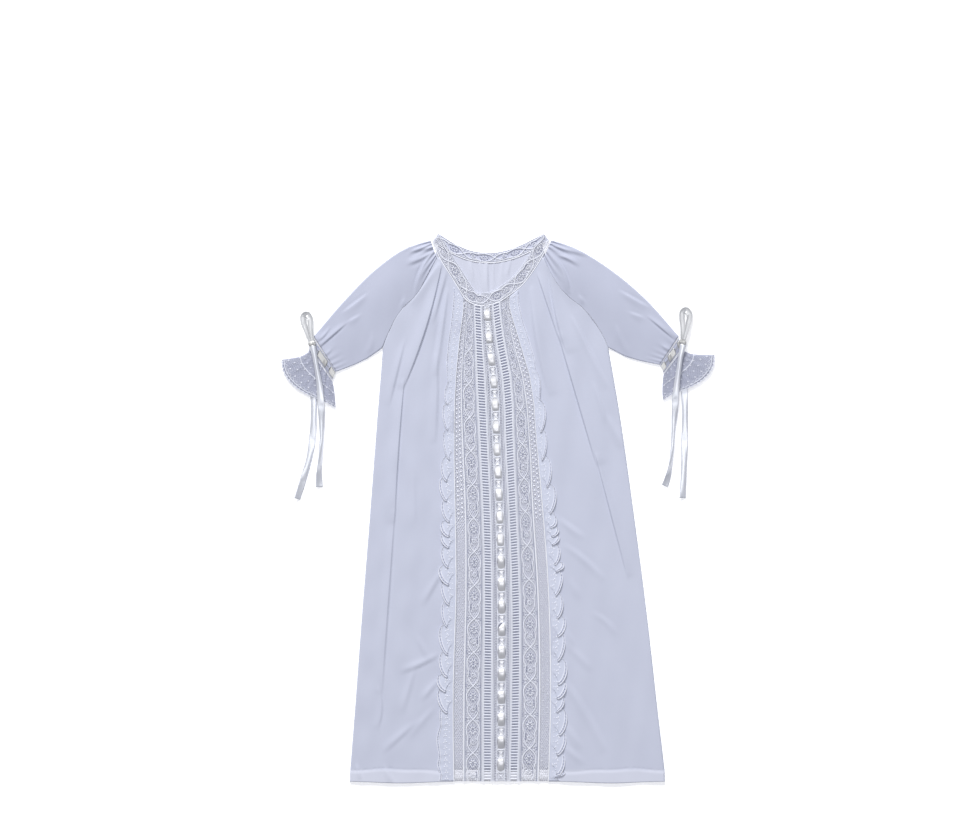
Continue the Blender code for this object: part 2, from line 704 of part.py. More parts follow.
def make_cuff(side, word, flounce_edge):
    """Beading band, the ribbon woven through it, and the flounce below it."""
    band_start = 2 * SEAM
    band_end = band_start + CUFF_BAND_WIDTH
    band_shares = np.linspace(0.0, 1.0, 3 * CUFF_WINDOWS + 1)[::side]
    near = np.array(between(*cuff_line(side, band_start), band_shares))
    far = np.array(between(*cuff_line(side, band_end), band_shares))

    def keep(row, column):
        return column != 1 or row >= len(near) - 1 or row % 3 == 2

    flat_ring(f"cuff_band_{word}", near, far, cuff_band_level, LACE, LACE_COLOUR,
              columns=(0.0, 0.2, 0.8, 1.0), keep=keep)

    flounce_shares = np.linspace(0.0, 1.0, 3 * FLOUNCE_WAVES + 1)[::side]
    near = np.array(between(*cuff_line(side, band_end + 4 * SEAM), flounce_shares))
    far = along(flounce_edge[::-1], flounce_shares)
    flat_ring(f"cuff_flounce_{word}", near, far, flounce_level, LACE, TULLE_COLOUR,
              columns=(0.0, 0.2, 0.6, 1.0))

    band_middle = (band_start + band_end) / 2
    inner = cuff_line(side, band_middle - RIBBON_HALF)
    outer = cuff_line(side, band_middle + RIBBON_HALF)
    rows = []
    for k in range(CUFF_WINDOWS):
        for inside, lift in ((0.12, 0.0), (0.3, 1.0), (0.7, 1.0), (0.88, 0.0)):
            share = (k + inside * 2 / 3) / CUFF_WINDOWS
            z = SATIN + SEAM + CUFF_BULGE * lift
            rows.append([(*between(*line[::side], (share,))[0], z) for line in (inner, outer)])
    cloth_piece(f"cuff_ribbon_{word}", rows, SATIN, SATIN_COLOUR, 0.35)


def make_strap(name, route, steps, width=None):
    """A ribbon along a route of x, y, z and a fourth column.

    The fourth column is the ribbon's roll in degrees where a width is given, and else its width.
    """
    points = along(route, np.linspace(0.0, 1.0, steps + 1))
    run = np.gradient(points[:, :3], axis=0)
    rows = []
    for (x, y, z, last), direction in zip(points, run):
        half = (width or last) / 2
        roll = math.radians(last) if width else 0.0
        across = np.array((direction[1], -direction[0])) / math.hypot(direction[0], direction[1])
        reach = np.array((*(across * half * math.cos(roll)), half * math.sin(roll)))
        middle = np.array((x, y, max(z, 0.0) + abs(reach[2])))
        rows.append([middle - reach, middle + reach])
    return cloth_piece(name, rows, SATIN, SATIN_COLOUR, 0.35)


def make_knot(name, x, y):
    """The knot of a cuff ribbon, a small squashed ball on the cuff band."""
    bpy.ops.mesh.primitive_uv_sphere_add(segments=10, ring_count=6, radius=1.0)
    knot = bpy.context.active_object
    knot.name = name
    knot.data.name = name
    for vertex in knot.data.vertices:
        vertex.co = (
            (x + KNOT_SIZE[0] / 2 * vertex.co.x) * MM,
            (y + KNOT_SIZE[1] / 2 * vertex.co.y) * MM,
            (KNOT_Z + KNOT_SIZE[2] / 2 * (1 + vertex.co.z)) * MM,
        )
    knot.data.shade_smooth()
    knot.data.materials.append(cloth_material(name, SATIN_COLOUR, 0.35))
    for collection in list(knot.users_collection):
        collection.objects.unlink(knot)
    gown.objects.link(knot)
    return knot


make_front("front_left", -1)
make_front("front_right", 1)
make_back()
make_neck_band()
for strip, strip_seam in STRIPS:
    make_strip(strip, strip_seam)
make_centre_beading()
make_centre_ribbon()
make_ruffle("ruffle_left", -1, *RUFFLE_LEFT)
make_ruffle("ruffle_right", 1, *RUFFLE_RIGHT)
make_sleeve("sleeve_left", -1, SLEEVE_TOP_LEFT, UNDERARM_LEFT)
make_sleeve("sleeve_right", 1, SLEEVE_TOP_RIGHT, UNDERARM_RIGHT)
make_cuff(-1, "left", FLOUNCE_EDGE_LEFT)
make_cuff(1, "right", FLOUNCE_EDGE_RIGHT)
make_strap("cuff_loop_left", LOOP_LEFT, 18)
make_strap("cuff_loop_right", LOOP_RIGHT, 18)
make_knot("cuff_knot_left", *KNOT_LEFT)
make_knot("cuff_knot_right", *KNOT_RIGHT)
make_strap("cuff_tail_over_left", TAIL_OVER_LEFT, 20, width=RIBBON_WIDTH)
make_strap("cuff_tail_over_right", TAIL_OVER_RIGHT, 20, width=RIBBON_WIDTH)
make_strap("cuff_tail_under_left", TAIL_UNDER_LEFT, 12, width=RIBBON_WIDTH)
make_strap("cuff_tail_under_right", TAIL_UNDER_RIGHT, 12, width=RIBBON_WIDTH)
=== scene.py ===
import math

import bmesh
import bpy
import numpy as np
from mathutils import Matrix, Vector


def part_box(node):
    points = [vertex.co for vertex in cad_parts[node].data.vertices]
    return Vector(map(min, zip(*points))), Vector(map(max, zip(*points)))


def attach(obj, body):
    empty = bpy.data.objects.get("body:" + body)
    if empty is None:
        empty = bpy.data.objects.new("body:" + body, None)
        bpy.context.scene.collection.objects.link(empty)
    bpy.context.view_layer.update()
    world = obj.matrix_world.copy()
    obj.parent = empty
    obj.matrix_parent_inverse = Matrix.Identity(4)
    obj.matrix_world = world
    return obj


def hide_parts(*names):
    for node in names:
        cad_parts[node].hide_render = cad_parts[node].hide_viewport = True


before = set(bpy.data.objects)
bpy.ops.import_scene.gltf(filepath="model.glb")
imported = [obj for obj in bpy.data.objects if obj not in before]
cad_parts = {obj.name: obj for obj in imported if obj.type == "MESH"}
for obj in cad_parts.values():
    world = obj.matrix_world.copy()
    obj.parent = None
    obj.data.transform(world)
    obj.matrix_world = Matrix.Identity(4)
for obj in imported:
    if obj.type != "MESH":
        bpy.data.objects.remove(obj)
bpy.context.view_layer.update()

# Camera, floor and light
# The gown lies flat and is seen from straight above, through a long lens. +Y is towards the neck, and
# left is -X. Every size in this script is in millimetres, and MM turns it to the frame's metres.
MM = 0.001
PHOTO_WIDTH, PHOTO_SCALE = 953, 1.1545   # pixels, and millimetres for each
VIEW_MIDDLE = (-25.05, 115.45)           # x and y at the middle of the photograph
CAMERA_HEIGHT, SENSOR = 4000.0, 36.0
FLOOR_REACH = 6000.0
FLOOR_COLOURS = ("fbfbfd", "ffffff")


def linear(code):
    """An sRGB hex colour as linear light."""
    values = [int(code[k:k + 2], 16) / 255 for k in (0, 2, 4)]
    return (*(v / 12.92 if v <= 0.04045 else ((v + 0.055) / 1.055) ** 2.4 for v in values), 1.0)


def add(tree, kind, inputs=(), **settings):
    """A new node of a kind, with its settings. Each input is a value or another node's output."""
    node = tree.nodes.new(kind)
    for name, value in settings.items():
        setattr(node, name, value)
    for socket, value in dict(inputs).items():
        if isinstance(value, bpy.types.NodeSocket):
            tree.links.new(value, node.inputs[socket])
        else:
            node.inputs[socket].default_value = value
    return node


def finish_of(name, **shader):
    """A new material, its node tree and its shader, with the sockets that are the same all over."""
    material = bpy.data.materials.new(name)
    material.use_nodes = True
    tree = material.node_tree
    principled = tree.nodes["Principled BSDF"]
    for socket, value in shader.items():
        principled.inputs[socket.replace("_", " ")].default_value = value
    return material, tree, principled


def clouded(tree, shader, light, shade, scale, detail=2.0, roughness=0.5):
    """A base colour that drifts between two tones in soft clouds. Gives the coordinates and the tone."""
    where = add(tree, "ShaderNodeTexCoord").outputs
    cloud = add(tree, "ShaderNodeTexNoise", {"Vector": where["Object"], "Scale": scale,
                                            "Detail": detail, "Roughness": roughness})
    tone = add(tree, "ShaderNodeMix", {"Factor": cloud.outputs["Fac"], "A": linear(light),
                                      "B": linear(shade)}, data_type="RGBA")
    tree.links.new(tone.outputs[2], shader.inputs["Base Color"])
    return where, tone


camera_data = bpy.data.cameras.new("Camera")
camera_data.sensor_width = SENSOR
camera_data.lens = SENSOR * CAMERA_HEIGHT / (PHOTO_WIDTH * PHOTO_SCALE)
camera_data.clip_end = 5 * CAMERA_HEIGHT * MM
camera = bpy.data.objects.new("Camera", camera_data)
camera.location = (VIEW_MIDDLE[0] * MM, VIEW_MIDDLE[1] * MM, CAMERA_HEIGHT * MM)
bpy.context.scene.collection.objects.link(camera)
bpy.context.scene.camera = camera
bpy.context.scene.view_settings.view_transform = "Standard"

# White paper sweep, so pale that it fades out behind the cloth. The table under it is lit from below,
# which leaves hardly any shadow round the gown
paper, paper_tree, paper_shader = finish_of("White paper sweep", Roughness=0.9, Emission_Strength=0.3,
                                            Emission_Color=linear("ffffff"))
clouded(paper_tree, paper_shader, *FLOOR_COLOURS, scale=75.0, detail=3.0)
floor_mesh = bpy.data.meshes.new("Floor")
reach = FLOOR_REACH * MM
floor_mesh.from_pydata([(-reach, -reach, 0), (reach, -reach, 0), (reach, reach, 0), (-reach, reach, 0)],
                       [], [(0, 1, 2, 3)])
floor_mesh.materials.append(paper)
floor = bpy.data.objects.new("Floor", floor_mesh)
bpy.context.scene.collection.objects.link(floor)

# Light: place in metres, its size in metres and its power in watts
for name, place, size, power in (
    ("Key light", (-1.3, 5.6, 3.7), 2.0, 440.0),
    ("Top light", (0.8, 0.3, 8.0), 5.0, 150.0),
):
    light_data = bpy.data.lights.new(name, "AREA")
    light_data.size = size
    light_data.energy = power
    light = bpy.data.objects.new(name, light_data)
    light.location = place
    bpy.context.scene.collection.objects.link(light)
    light.rotation_mode = "QUATERNION"
    light.rotation_quaternion = (-Vector(place)).to_track_quat("-Z", "Y")
world = bpy.data.worlds.new("Studio")
world.use_nodes = True
sky = world.node_tree.nodes["Background"].inputs
sky["Color"].default_value = linear("f4f6ff")
sky["Strength"].default_value = 0.38
bpy.context.scene.world = world

# Cuff ribbon tails
# Each cuff is drawn in by an 8 mm satin ribbon, tied in a knot with one loop. Its two cut ends hang
# free: one lies over the flounce and the other comes out from under it. Woven viscose satin is stiff
# enough to twist on its edge rather than bend sideways.
RIBBON_WIDTH = 8.0
RIBBON_WALL = 0.35    # and of all other cloth for which nothing else is said
SATIN_RISE = 0.5      # from the route to the ribbon
ACROSS_RIBBON = np.linspace(-1.0, 1.0, 9)    # where its lengthwise lines run, from edge to edge
# Each tail: x, y, z, roll in degrees, and the share of its width at which the ribbon lies open
TAIL_ROUTES = {
    "over_left": (
        (-214.6, 188.4, 6.4, 0.0, 0.95),
        (-211.8, 176.0, 6.0, 0.0, 0.75),
        (-209.4, 161.6, 6.0, 0.0, 0.72),
        (-206.4, 145.0, 6.0, 0.0, 0.85),
        (-204.2, 118.0, 6.0, 0.0, 1.0),
        (-203.6, 100.0, 1.6, 10.0, 0.9),
        (-203.4, 84.0, 0.2, 25.0, 0.75),
        (-204.4, 68.0, 0.2, 45.0, 0.85),
        (-205.6, 50.0, 0.2, 50.0, 1.0),
        (-206.6, 36.0, 0.2, 30.0, 1.0),
        (-206.3, 24.2, 0.2, 15.0, 1.0),
    ),
    "under_left": (
        (-215.8, 164.0, 0.2, 0.0, 1.0),
        (-214.6, 154.0, 0.2, 0.0, 1.0),
        (-213.2, 136.0, 0.2, 0.0, 1.0),
        (-212.9, 110.0, 0.2, 0.0, 0.9),
        (-214.6, 78.0, 0.2, 0.0, 1.0),
        (-218.8, 54.0, 0.2, 10.0, 0.9),
        (-225.2, 32.0, 0.2, 20.0, 1.0),
        (-231.9, 10.4, 0.2, 30.0, 1.0),
    ),
    "over_right": (
        (213.4, 189.6, 6.4, 0.0, 0.95),
        (210.6, 177.0, 6.0, 0.0, 0.75),
        (208.4, 161.6, 6.0, 0.0, 0.72),
        (206.2, 145.0, 6.0, 0.0, 0.85),
        (204.4, 126.0, 6.0, 0.0, 1.0),
        (203.4, 106.0, 1.6, 10.0, 0.9),
        (202.2, 88.0, 0.2, 25.0, 0.7),
        (200.6, 66.0, 0.2, 45.0, 0.75),
        (198.6, 48.0, 0.2, 50.0, 1.0),
        (195.6, 35.0, 0.2, 30.0, 1.0),
        (192.4, 25.4, 0.2, 15.0, 1.0),
    ),
    "under_right": (
        (215.8, 167.0, 0.2, 0.0, 1.0),
        (215.4, 156.0, 0.2, 0.0, 1.0),
        (215.2, 134.0, 0.2, 0.0, 1.0),
        (215.6, 110.0, 0.2, 0.0, 0.9),
        (215.2, 78.0, 0.2, 0.0, 1.0),
        (214.4, 44.0, 0.2, 10.0, 0.9),
        (212.8, 11.5, 0.2, 20.0, 1.0),
    ),
}


def walk(points):
    """How far along a line each of its points lies."""
    steps = np.linalg.norm(np.diff(np.asarray(points, float), axis=0), axis=1)
    return np.concatenate([[0.0], np.cumsum(steps)])


def along(points, count):
    """Points evenly spaced along a smooth curve through a few points."""
    points = np.array(points, float)
    walked = walk(points)
    slopes = np.gradient(points, walked, axis=0)
    at = np.linspace(0.0, walked[-1], count)
    k = np.clip(np.searchsorted(walked, at) - 1, 0, len(walked) - 2)
    step = (walked[k + 1] - walked[k])[:, None]
    t = (at - walked[k])[:, None] / step
    stay, go = 2 * t**3 - 3 * t**2 + 1, 3 * t**2 - 2 * t**3
    leave, arrive = t**3 - 2 * t**2 + t, t**3 - t**2
    return (stay * points[k] + go * points[k + 1]
            + step * (leave * slopes[k] + arrive * slopes[k + 1]))


def cloth(name, grid, material, wall=RIBBON_WALL, ring=False, keep=None):
    """A piece of cloth whose upper or outer side passes through rows of points.

    Its UV map is the cut's own size in metres, and keep says which cells of the grid are cloth.
    """
    grid = np.array(grid, float)
    rows, columns = grid.shape[:2]
    last = rows if ring else rows - 1
    index = np.arange(rows * columns).reshape(rows, columns)
    closed = np.vstack([index, index[:1]]) if ring else index
    faces = np.stack([closed[:-1, :-1], closed[:-1, 1:], closed[1:, 1:], closed[1:, :-1]], axis=-1)
    if keep is not None:
        faces = faces[keep[:last]]
    faces = faces.reshape(-1, 4)
    points = grid.reshape(-1, 3)[faces]
    # Every face points up, or outwards on a ring
    upward = np.cross(points[:, 2] - points[:, 0], points[:, 3] - points[:, 1])[:, 2]
    height = points[:, :, 2].mean(1)
    if (upward * (height - height.mean() if ring else 1.0)).sum() < 0:
        faces = faces[:, ::-1]
    mesh = bpy.data.meshes.new(name)
    mesh.from_pydata((grid.reshape(-1, 3) * MM).tolist(), [], faces.tolist())
    down = np.linalg.norm(np.diff(grid, axis=0), axis=2).mean(1)
    across = np.linalg.norm(np.diff(grid, axis=1), axis=2).mean(0)
    v = np.repeat(np.concatenate([[0.0], np.cumsum(down)]), columns) * MM
    u = np.tile(np.concatenate([[0.0], np.cumsum(across)]), rows) * MM
    layer = mesh.uv_layers.new(name="Cloth")
    corner = np.zeros(len(mesh.loops), np.int32)
    mesh.loops.foreach_get("vertex_index", corner)
    layer.data.foreach_set("uv", np.stack([u[corner], v[corner]], axis=1).ravel())
    mesh.shade_smooth()
    mesh.materials.append(material)
    piece = bpy.data.objects.new(name, mesh)
    bpy.context.scene.collection.objects.link(piece)
    if wall:
        solid = piece.modifiers.new("Wall", "SOLIDIFY")
        solid.thickness = wall * MM
        solid.offset = -1.0
    return piece


def stand_for(piece, node):
    """The piece rides on the gown and stands for a CAD node."""
    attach(piece, "root")
    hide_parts(node)


def satin(name, light, shade):
    """Viscose satin: long warp floats shine along the ribbon, with cloudy lustre and fine cross ribs."""
    material, tree, shader = finish_of(name, Roughness=0.33, Metallic=0.42, Specular_IOR_Level=0.7,
                                       Sheen_Weight=0.15, Sheen_Roughness=0.4, Anisotropic=0.3)
    where, _ = clouded(tree, shader, light, shade, 70.0)
    # Weft ribs are 0.15 mm apart, and drawn at 1.2 mm so that they show
    ribs = add(tree, "ShaderNodeTexWave", {"Vector": where["UV"], "Scale": 260.0, "Distortion": 1.5,
                                          "Detail": 1.0}, bands_direction="Y")
    bump = add(tree, "ShaderNodeBump", {"Height": ribs.outputs["Fac"], "Strength": 0.12,
                                       "Distance": 0.2 * MM})
    tree.links.new(bump.outputs["Normal"], shader.inputs["Normal"])
    return material


def ribbon(name, route, width, material, count=120, curl=0.25):
    """A ribbon along a route of x, y, z, roll and openness, or of x, y, z and width where width is None.

    Where it does not lie open, it arches up lengthwise and looks narrower from above.
    """
    points = along(route, count)
    run = np.gradient(points[:, :3], axis=0)
    flat = np.stack([run[:, 1], -run[:, 0], np.zeros(count)], axis=1)
    flat /= np.linalg.norm(flat, axis=1)[:, None]
    roll = np.radians(points[:, 3]) if width else np.zeros(count)
    open_share = np.clip(points[:, 4], 0.3, 1.0) if width else np.ones(count)
    half = open_share * width / 2 if width else points[:, 3] / 2
    arch = 0.8 * half * np.sqrt(1 - open_share**2) / open_share - curl
    side = flat * np.cos(roll)[:, None] + np.array((0.0, 0.0, 1.0)) * np.sin(roll)[:, None]
    normal = np.cross(side, run / np.linalg.norm(run, axis=1)[:, None])
    middle = points[:, :3].copy()
    middle[:, 2] = np.maximum(middle[:, 2], 0.0) + half * np.abs(np.sin(roll)) + SATIN_RISE
    grid = [middle + side * (half * part)[:, None] + normal * (arch * (1 - part**2))[:, None]
            for part in ACROSS_RIBBON]
    return cloth(name, np.stack(grid, axis=1), material), middle


ribbon_satin = satin("Ivory viscose satin ribbon", "e9ebf1", "d3d7e0")
for place, route in TAIL_ROUTES.items():
    tail, middle = ribbon(f"satin_tail_{place}", route, RIBBON_WIDTH, ribbon_satin)
    stand_for(tail, f"cuff_tail_{place}")

# Cuff flounces
# Each sleeve ends in a ring of gathered cotton tulle, dotted by embroidery, with a corded zigzag and a
# scalloped edge. It is sewn to the cuff band along its gathers and is pressed flat, so the net is double.
CUFF_SEAM = {"left": ((-213.2, 195.6), (-186.9, 157.4)), "right": ((208.6, 196.0), (186.7, 165.5))}
CUFF_LEAN = 0.6                      # the band slopes this much down its cuff for each mm outwards
FLOUNCE_START = 9.8                  # from the cuff seam
FLOUNCE_CUT, FLOUNCE_DEPTH = 98.0, 39.0      # half of the ring's cut length, and its depth
FLOUNCE_FRONT, FLOUNCE_FOLD, FLOUNCE_BACK = 3.0, 2.0, 1.2      # heights of its layers and side folds
FLOUNCE_WAVES, FLOUNCE_RISE = 6, 1.1
FLOUNCE_WAISTS = (5.5, -2.0)         # how far the upper and the lower folded side curve in
FLOUNCE_SCALLOPS = 17
ZIGZAG_PITCH = 6.6
DOT_ROWS, DOT_PITCH = 6.4, 13.0      # the dots' rows, and the dots in a row, are this far apart
TULLE_MESH = 2.5                     # one mesh across: a real one is 1.6 mm, too fine to draw
FLOUNCE_EDGE = {
    "left": ((-250.4, 171.4), (-248.6, 158.7), (-239.7, 144.4), (-226.5, 134.0), (-211.7, 127.2),
             (-200.0, 122.2), (-187.6, 115.4)),
    "right": ((250.5, 177.0), (248.2, 162.6), (239.7, 150.3), (227.9, 142.0), (211.7, 135.3),
              (201.3, 130.8), (189.8, 124.2)),
}


def tree_of(name, *sockets):
    """A new geometry node tree with its inputs, and its input node."""
    tree = bpy.data.node_groups.new(name, "GeometryNodeTree")
    for label, kind in (("Chart", "Geometry"), *sockets):
        tree.interface.new_socket(label, in_out="INPUT", socket_type=f"NodeSocket{kind}")
    tree.interface.new_socket("Lace", in_out="OUTPUT", socket_type="NodeSocketGeometry")
    return tree, add(tree, "NodeGroupInput").outputs


def finish_tree(tree, mesh, material):
    """The end that both lace trees share: real faces, shaded smooth, in the lace's material."""
    real = add(tree, "GeometryNodeRealizeInstances", {"Geometry": mesh})
    smooth = add(tree, "GeometryNodeSetShadeSmooth", {"Geometry": real.outputs["Geometry"]})
    cotton = add(tree, "GeometryNodeSetMaterial", {"Geometry": smooth.outputs["Geometry"],
                                                  "Material": material})
    add(tree, "NodeGroupOutput", {"Lace": cotton.outputs["Geometry"]})


# Threads follow the chart's wires, each as thick as the wire says
thread_tree, given = tree_of("Lace threads", ("Sides", "Int"), ("Cotton", "Material"))
thick = add(thread_tree, "GeometryNodeInputNamedAttribute", {"Name": "thick"}, data_type="FLOAT")
wire = add(thread_tree, "GeometryNodeMeshToCurve", {"Mesh": given["Chart"]})
section = add(thread_tree, "GeometryNodeCurvePrimitiveCircle", {"Resolution": given["Sides"],
                                                                "Radius": 0.5})
tube = add(thread_tree, "GeometryNodeCurveToMesh", {
    "Curve": wire.outputs["Curve"], "Profile Curve": section.outputs["Curve"],
    "Scale": thick.outputs["Attribute"], "Fill Caps": True})
finish_tree(thread_tree, tube.outputs["Mesh"], given["Cotton"])

# Raised stitches sit on the chart's points: a small padded oval, turned and sized for each point
stitch_tree, given = tree_of("Raised stitches", ("Segments", "Int"), ("Cotton", "Material"))
turned = add(stitch_tree, "GeometryNodeInputNamedAttribute", {"Name": "turn"}, data_type="FLOAT_VECTOR")
sized = add(stitch_tree, "GeometryNodeInputNamedAttribute", {"Name": "size"}, data_type="FLOAT_VECTOR")
rotation = add(stitch_tree, "FunctionNodeEulerToRotation", {"Euler": turned.outputs["Attribute"]})
oval = add(stitch_tree, "GeometryNodeMeshUVSphere", {"Segments": given["Segments"], "Rings": 4,
                                                     "Radius": 0.5})
sown = add(stitch_tree, "GeometryNodeInstanceOnPoints", {
    "Points": given["Chart"], "Instance": oval.outputs["Mesh"],
    "Rotation": rotation.outputs["Rotation"], "Scale": sized.outputs["Attribute"]})
finish_tree(stitch_tree, sown.outputs["Instances"], given["Cotton"])


def grown(tree, points, edges, attributes, **inputs):
    """The plain mesh that a node tree makes of a chart, whose points and sizes are in millimetres."""
    chart = bpy.data.meshes.new("Chart")
    chart.from_pydata((points * MM).tolist(), edges, [])
    for name, kind, values in attributes:
        layer = chart.attributes.new(name, kind, "POINT")
        layer.data.foreach_set("value" if kind == "FLOAT" else "vector", np.ravel(values))
    holder = bpy.data.objects.new("Chart", chart)
    bpy.context.scene.collection.objects.link(holder)
    modifier = holder.modifiers.new("Lace", "NODES")
    modifier.node_group = tree
    for socket in tree.interface.items_tree:
        if socket.in_out == "INPUT" and socket.name in inputs:
            modifier[socket.identifier] = inputs[socket.name]
    view = bpy.context.evaluated_depsgraph_get()
    mesh = bpy.data.meshes.new_from_object(holder.evaluated_get(view))
    bpy.data.objects.remove(holder)
    bpy.data.meshes.remove(chart)
    return mesh


def chart_line(u, v, lift):
    """A line of chart points. One number may stand for all of its u, its v or its lift."""
    return np.column_stack(np.broadcast_arrays(u, v, lift))


def chart_grid(u, v, lift):
    """A grid of chart points with one row for each v, all at one lift."""
    across, down = np.meshgrid(u, v)
    return np.stack([across, down, np.full(across.shape, lift)], axis=-1)


def threads(wires, material, sides):
    """Threads along wires, each given as its chart points (u, v, lift) and its thickness."""
    points = np.concatenate([np.asarray(wire, float) for wire, _ in wires])
    thick = np.concatenate([np.full(len(wire), width * MM) for wire, width in wires])
    edges, first = [], 0
    for wire, _ in wires:
        edges += [(first + k, first + k + 1) for k in range(len(wire) - 1)]
        first += len(wire)
    return grown(thread_tree, points, edges, [("thick", "FLOAT", thick)], Sides=sides, Cotton=material)


def stitches(spots, material, segments=6):
    """Padded stitches, each given as u, v, lift, turn in degrees, length, width and height."""
    spots = np.array(spots, float)
    turn = np.zeros((len(spots), 3))
    turn[:, 2] = np.radians(spots[:, 3])
    attributes = [("turn", "FLOAT_VECTOR", turn), ("size", "FLOAT_VECTOR", spots[:, 4:] * MM)]
    return grown(stitch_tree, spots[:, :3], [], attributes, Segments=segments, Cotton=material)


def net(width, length, cell, thickness, lift=0.0):
    """Wires of a bobbin net with six-sided meshes: each thread steps from one straight run to the next."""
    count = max(2, round(2 * width / cell))
    pitch = width / count
    rows = max(1, round(length / (1.73 * cell)))
    period = length / rows
    stay = np.array([0.0, 1 / 3, 1 / 2, 5 / 6])
    v = (np.arange(rows)[:, None] + stay).ravel() * period
    wires = []
    for k in range(count):
        side = np.tile([1, 1, 0, 0] if k % 2 else [0, 0, 1, 1], rows)
        u = -width / 2 + (k + 0.06 + 0.88 * side) * pitch
        wires.append((chart_line(u, v, lift), thickness))
    return wires


def laid(meshes, place):
    """Bends flat chart meshes onto their cloth: place turns rows of u, v and lift into x, y and z."""
    for mesh in meshes:
        flat = np.zeros(3 * len(mesh.vertices), np.float32)
        mesh.vertices.foreach_get("co", flat)
        bent = place(flat.reshape(-1, 3).astype(float) / MM) * MM
        mesh.vertices.foreach_set("co", bent.astype(np.float32).ravel())
        mesh.update()
    return meshes


def joined(name, meshes):
    """One piece made of several meshes, each in its own material."""
    own = [next(material for material in mesh.materials if material) for mesh in meshes]
    materials = list(dict.fromkeys(own))
    whole = bmesh.new()
    done = 0
    for mesh, material in zip(meshes, own):
        whole.from_mesh(mesh)
        whole.faces.ensure_lookup_table()
        for face in whole.faces[done:]:
            face.material_index = materials.index(material)
        done = len(whole.faces)
        bpy.data.meshes.remove(mesh)
    mesh = bpy.data.meshes.new(name)
    whole.to_mesh(mesh)
    whole.free()
    for material in materials:
        mesh.materials.append(material)
    piece = bpy.data.objects.new(name, mesh)
    bpy.context.scene.collection.objects.link(piece)
    return piece


def shell_mesh(grid, material, wall, ring=False):
    """The plain mesh of a piece of cloth with its wall, to be joined with the lace that it carries."""
    shell = cloth("Shell", grid, material, wall=wall, ring=ring)
    view = bpy.context.evaluated_depsgraph_get()
    mesh = bpy.data.meshes.new_from_object(shell.evaluated_get(view))
    bpy.data.objects.remove(shell)
    return mesh


def cotton_thread(name, light, shade):
    """Matt mercerised cotton: each thread is a twist of fibres, and its tone varies a little."""
    material, tree, shader = finish_of(name, Roughness=0.75, Sheen_Weight=0.2, Sheen_Roughness=0.5)
    where, _ = clouded(tree, shader, light, shade, 160.0, 3.0)
    # The twist of a thread is 0.2 mm long, and drawn at 0.5 mm
    twist = add(tree, "ShaderNodeTexNoise", {"Vector": where["Object"], "Scale": 2000.0})
    bump = add(tree, "ShaderNodeBump", {"Height": twist.outputs["Fac"], "Strength": 0.3,
                                       "Distance": 0.2 * MM})
    tree.links.new(bump.outputs["Normal"], shader.inputs["Normal"])
    return material


def cuff_point(word, across, out):
    """A point beyond the cuff seam, from 0 at its upper fold to 1 at its lower fold."""
    high, low = np.array(CUFF_SEAM[word])
    run = (low - high) / np.linalg.norm(low - high)
    away = np.array((run[1], -run[0])) * (1 if word == "left" else -1) + CUFF_LEAN * run
    return high + (low - high) * np.asarray(across)[..., None] + away * np.asarray(out)[..., None]


def flounce_place(word, front):
    """Where a point of the flounce's chart lies: u runs out from the gathers, v along the cuff."""
    shares = np.linspace(0.0, 1.0, 400)
    edge = along(FLOUNCE_EDGE[word], len(shares))
    upward = np.subtract(*CUFF_SEAM[word])
    upward = upward / np.linalg.norm(upward)

    def place(flat):
        out = flat[:, 0] / FLOUNCE_DEPTH + 0.5
        across = np.clip(flat[:, 1] / FLOUNCE_CUT, 0.0, 1.0)
        near = cuff_point(word, across, np.full(len(flat), FLOUNCE_START))
        far = np.column_stack([np.interp(across, shares, edge[:, k]) for k in (0, 1)])
        # The folded sides curve in before they spread
        upper, lower = FLOUNCE_WAISTS
        waist = lower * across**3 - upper * (1 - across) ** 3
        waist = waist * np.sin(math.pi * np.clip(out, 0.0, 1.0) ** 0.62)
        uneven = across + 0.045 * np.sin(11 * across) + 0.03 * np.sin(23 * across + 1.0)
        spread = 0.5 - 0.5 * np.cos(2 * math.pi * FLOUNCE_WAVES * uneven)
        spread = spread * (0.65 + 0.35 * np.sin(7 * across + 2.0))
        rim = np.minimum(1.0, 8 * np.minimum(across, 1 - across))
        rise = rim * spread * FLOUNCE_RISE * (1.0 - 0.45 * np.clip(out, 0.0, 1.0))
        level = FLOUNCE_FRONT + rise if front else np.full(len(flat), FLOUNCE_BACK)
        # Both layers meet at the folded sides
        level = FLOUNCE_FOLD + (level - FLOUNCE_FOLD) * np.sqrt(np.maximum(rim, 0.0))
        flat_place = near + (far - near) * out[:, None] + upward * waist[:, None]
        return np.column_stack([flat_place, level + 0.6 * flat[:, 2]])

    return place


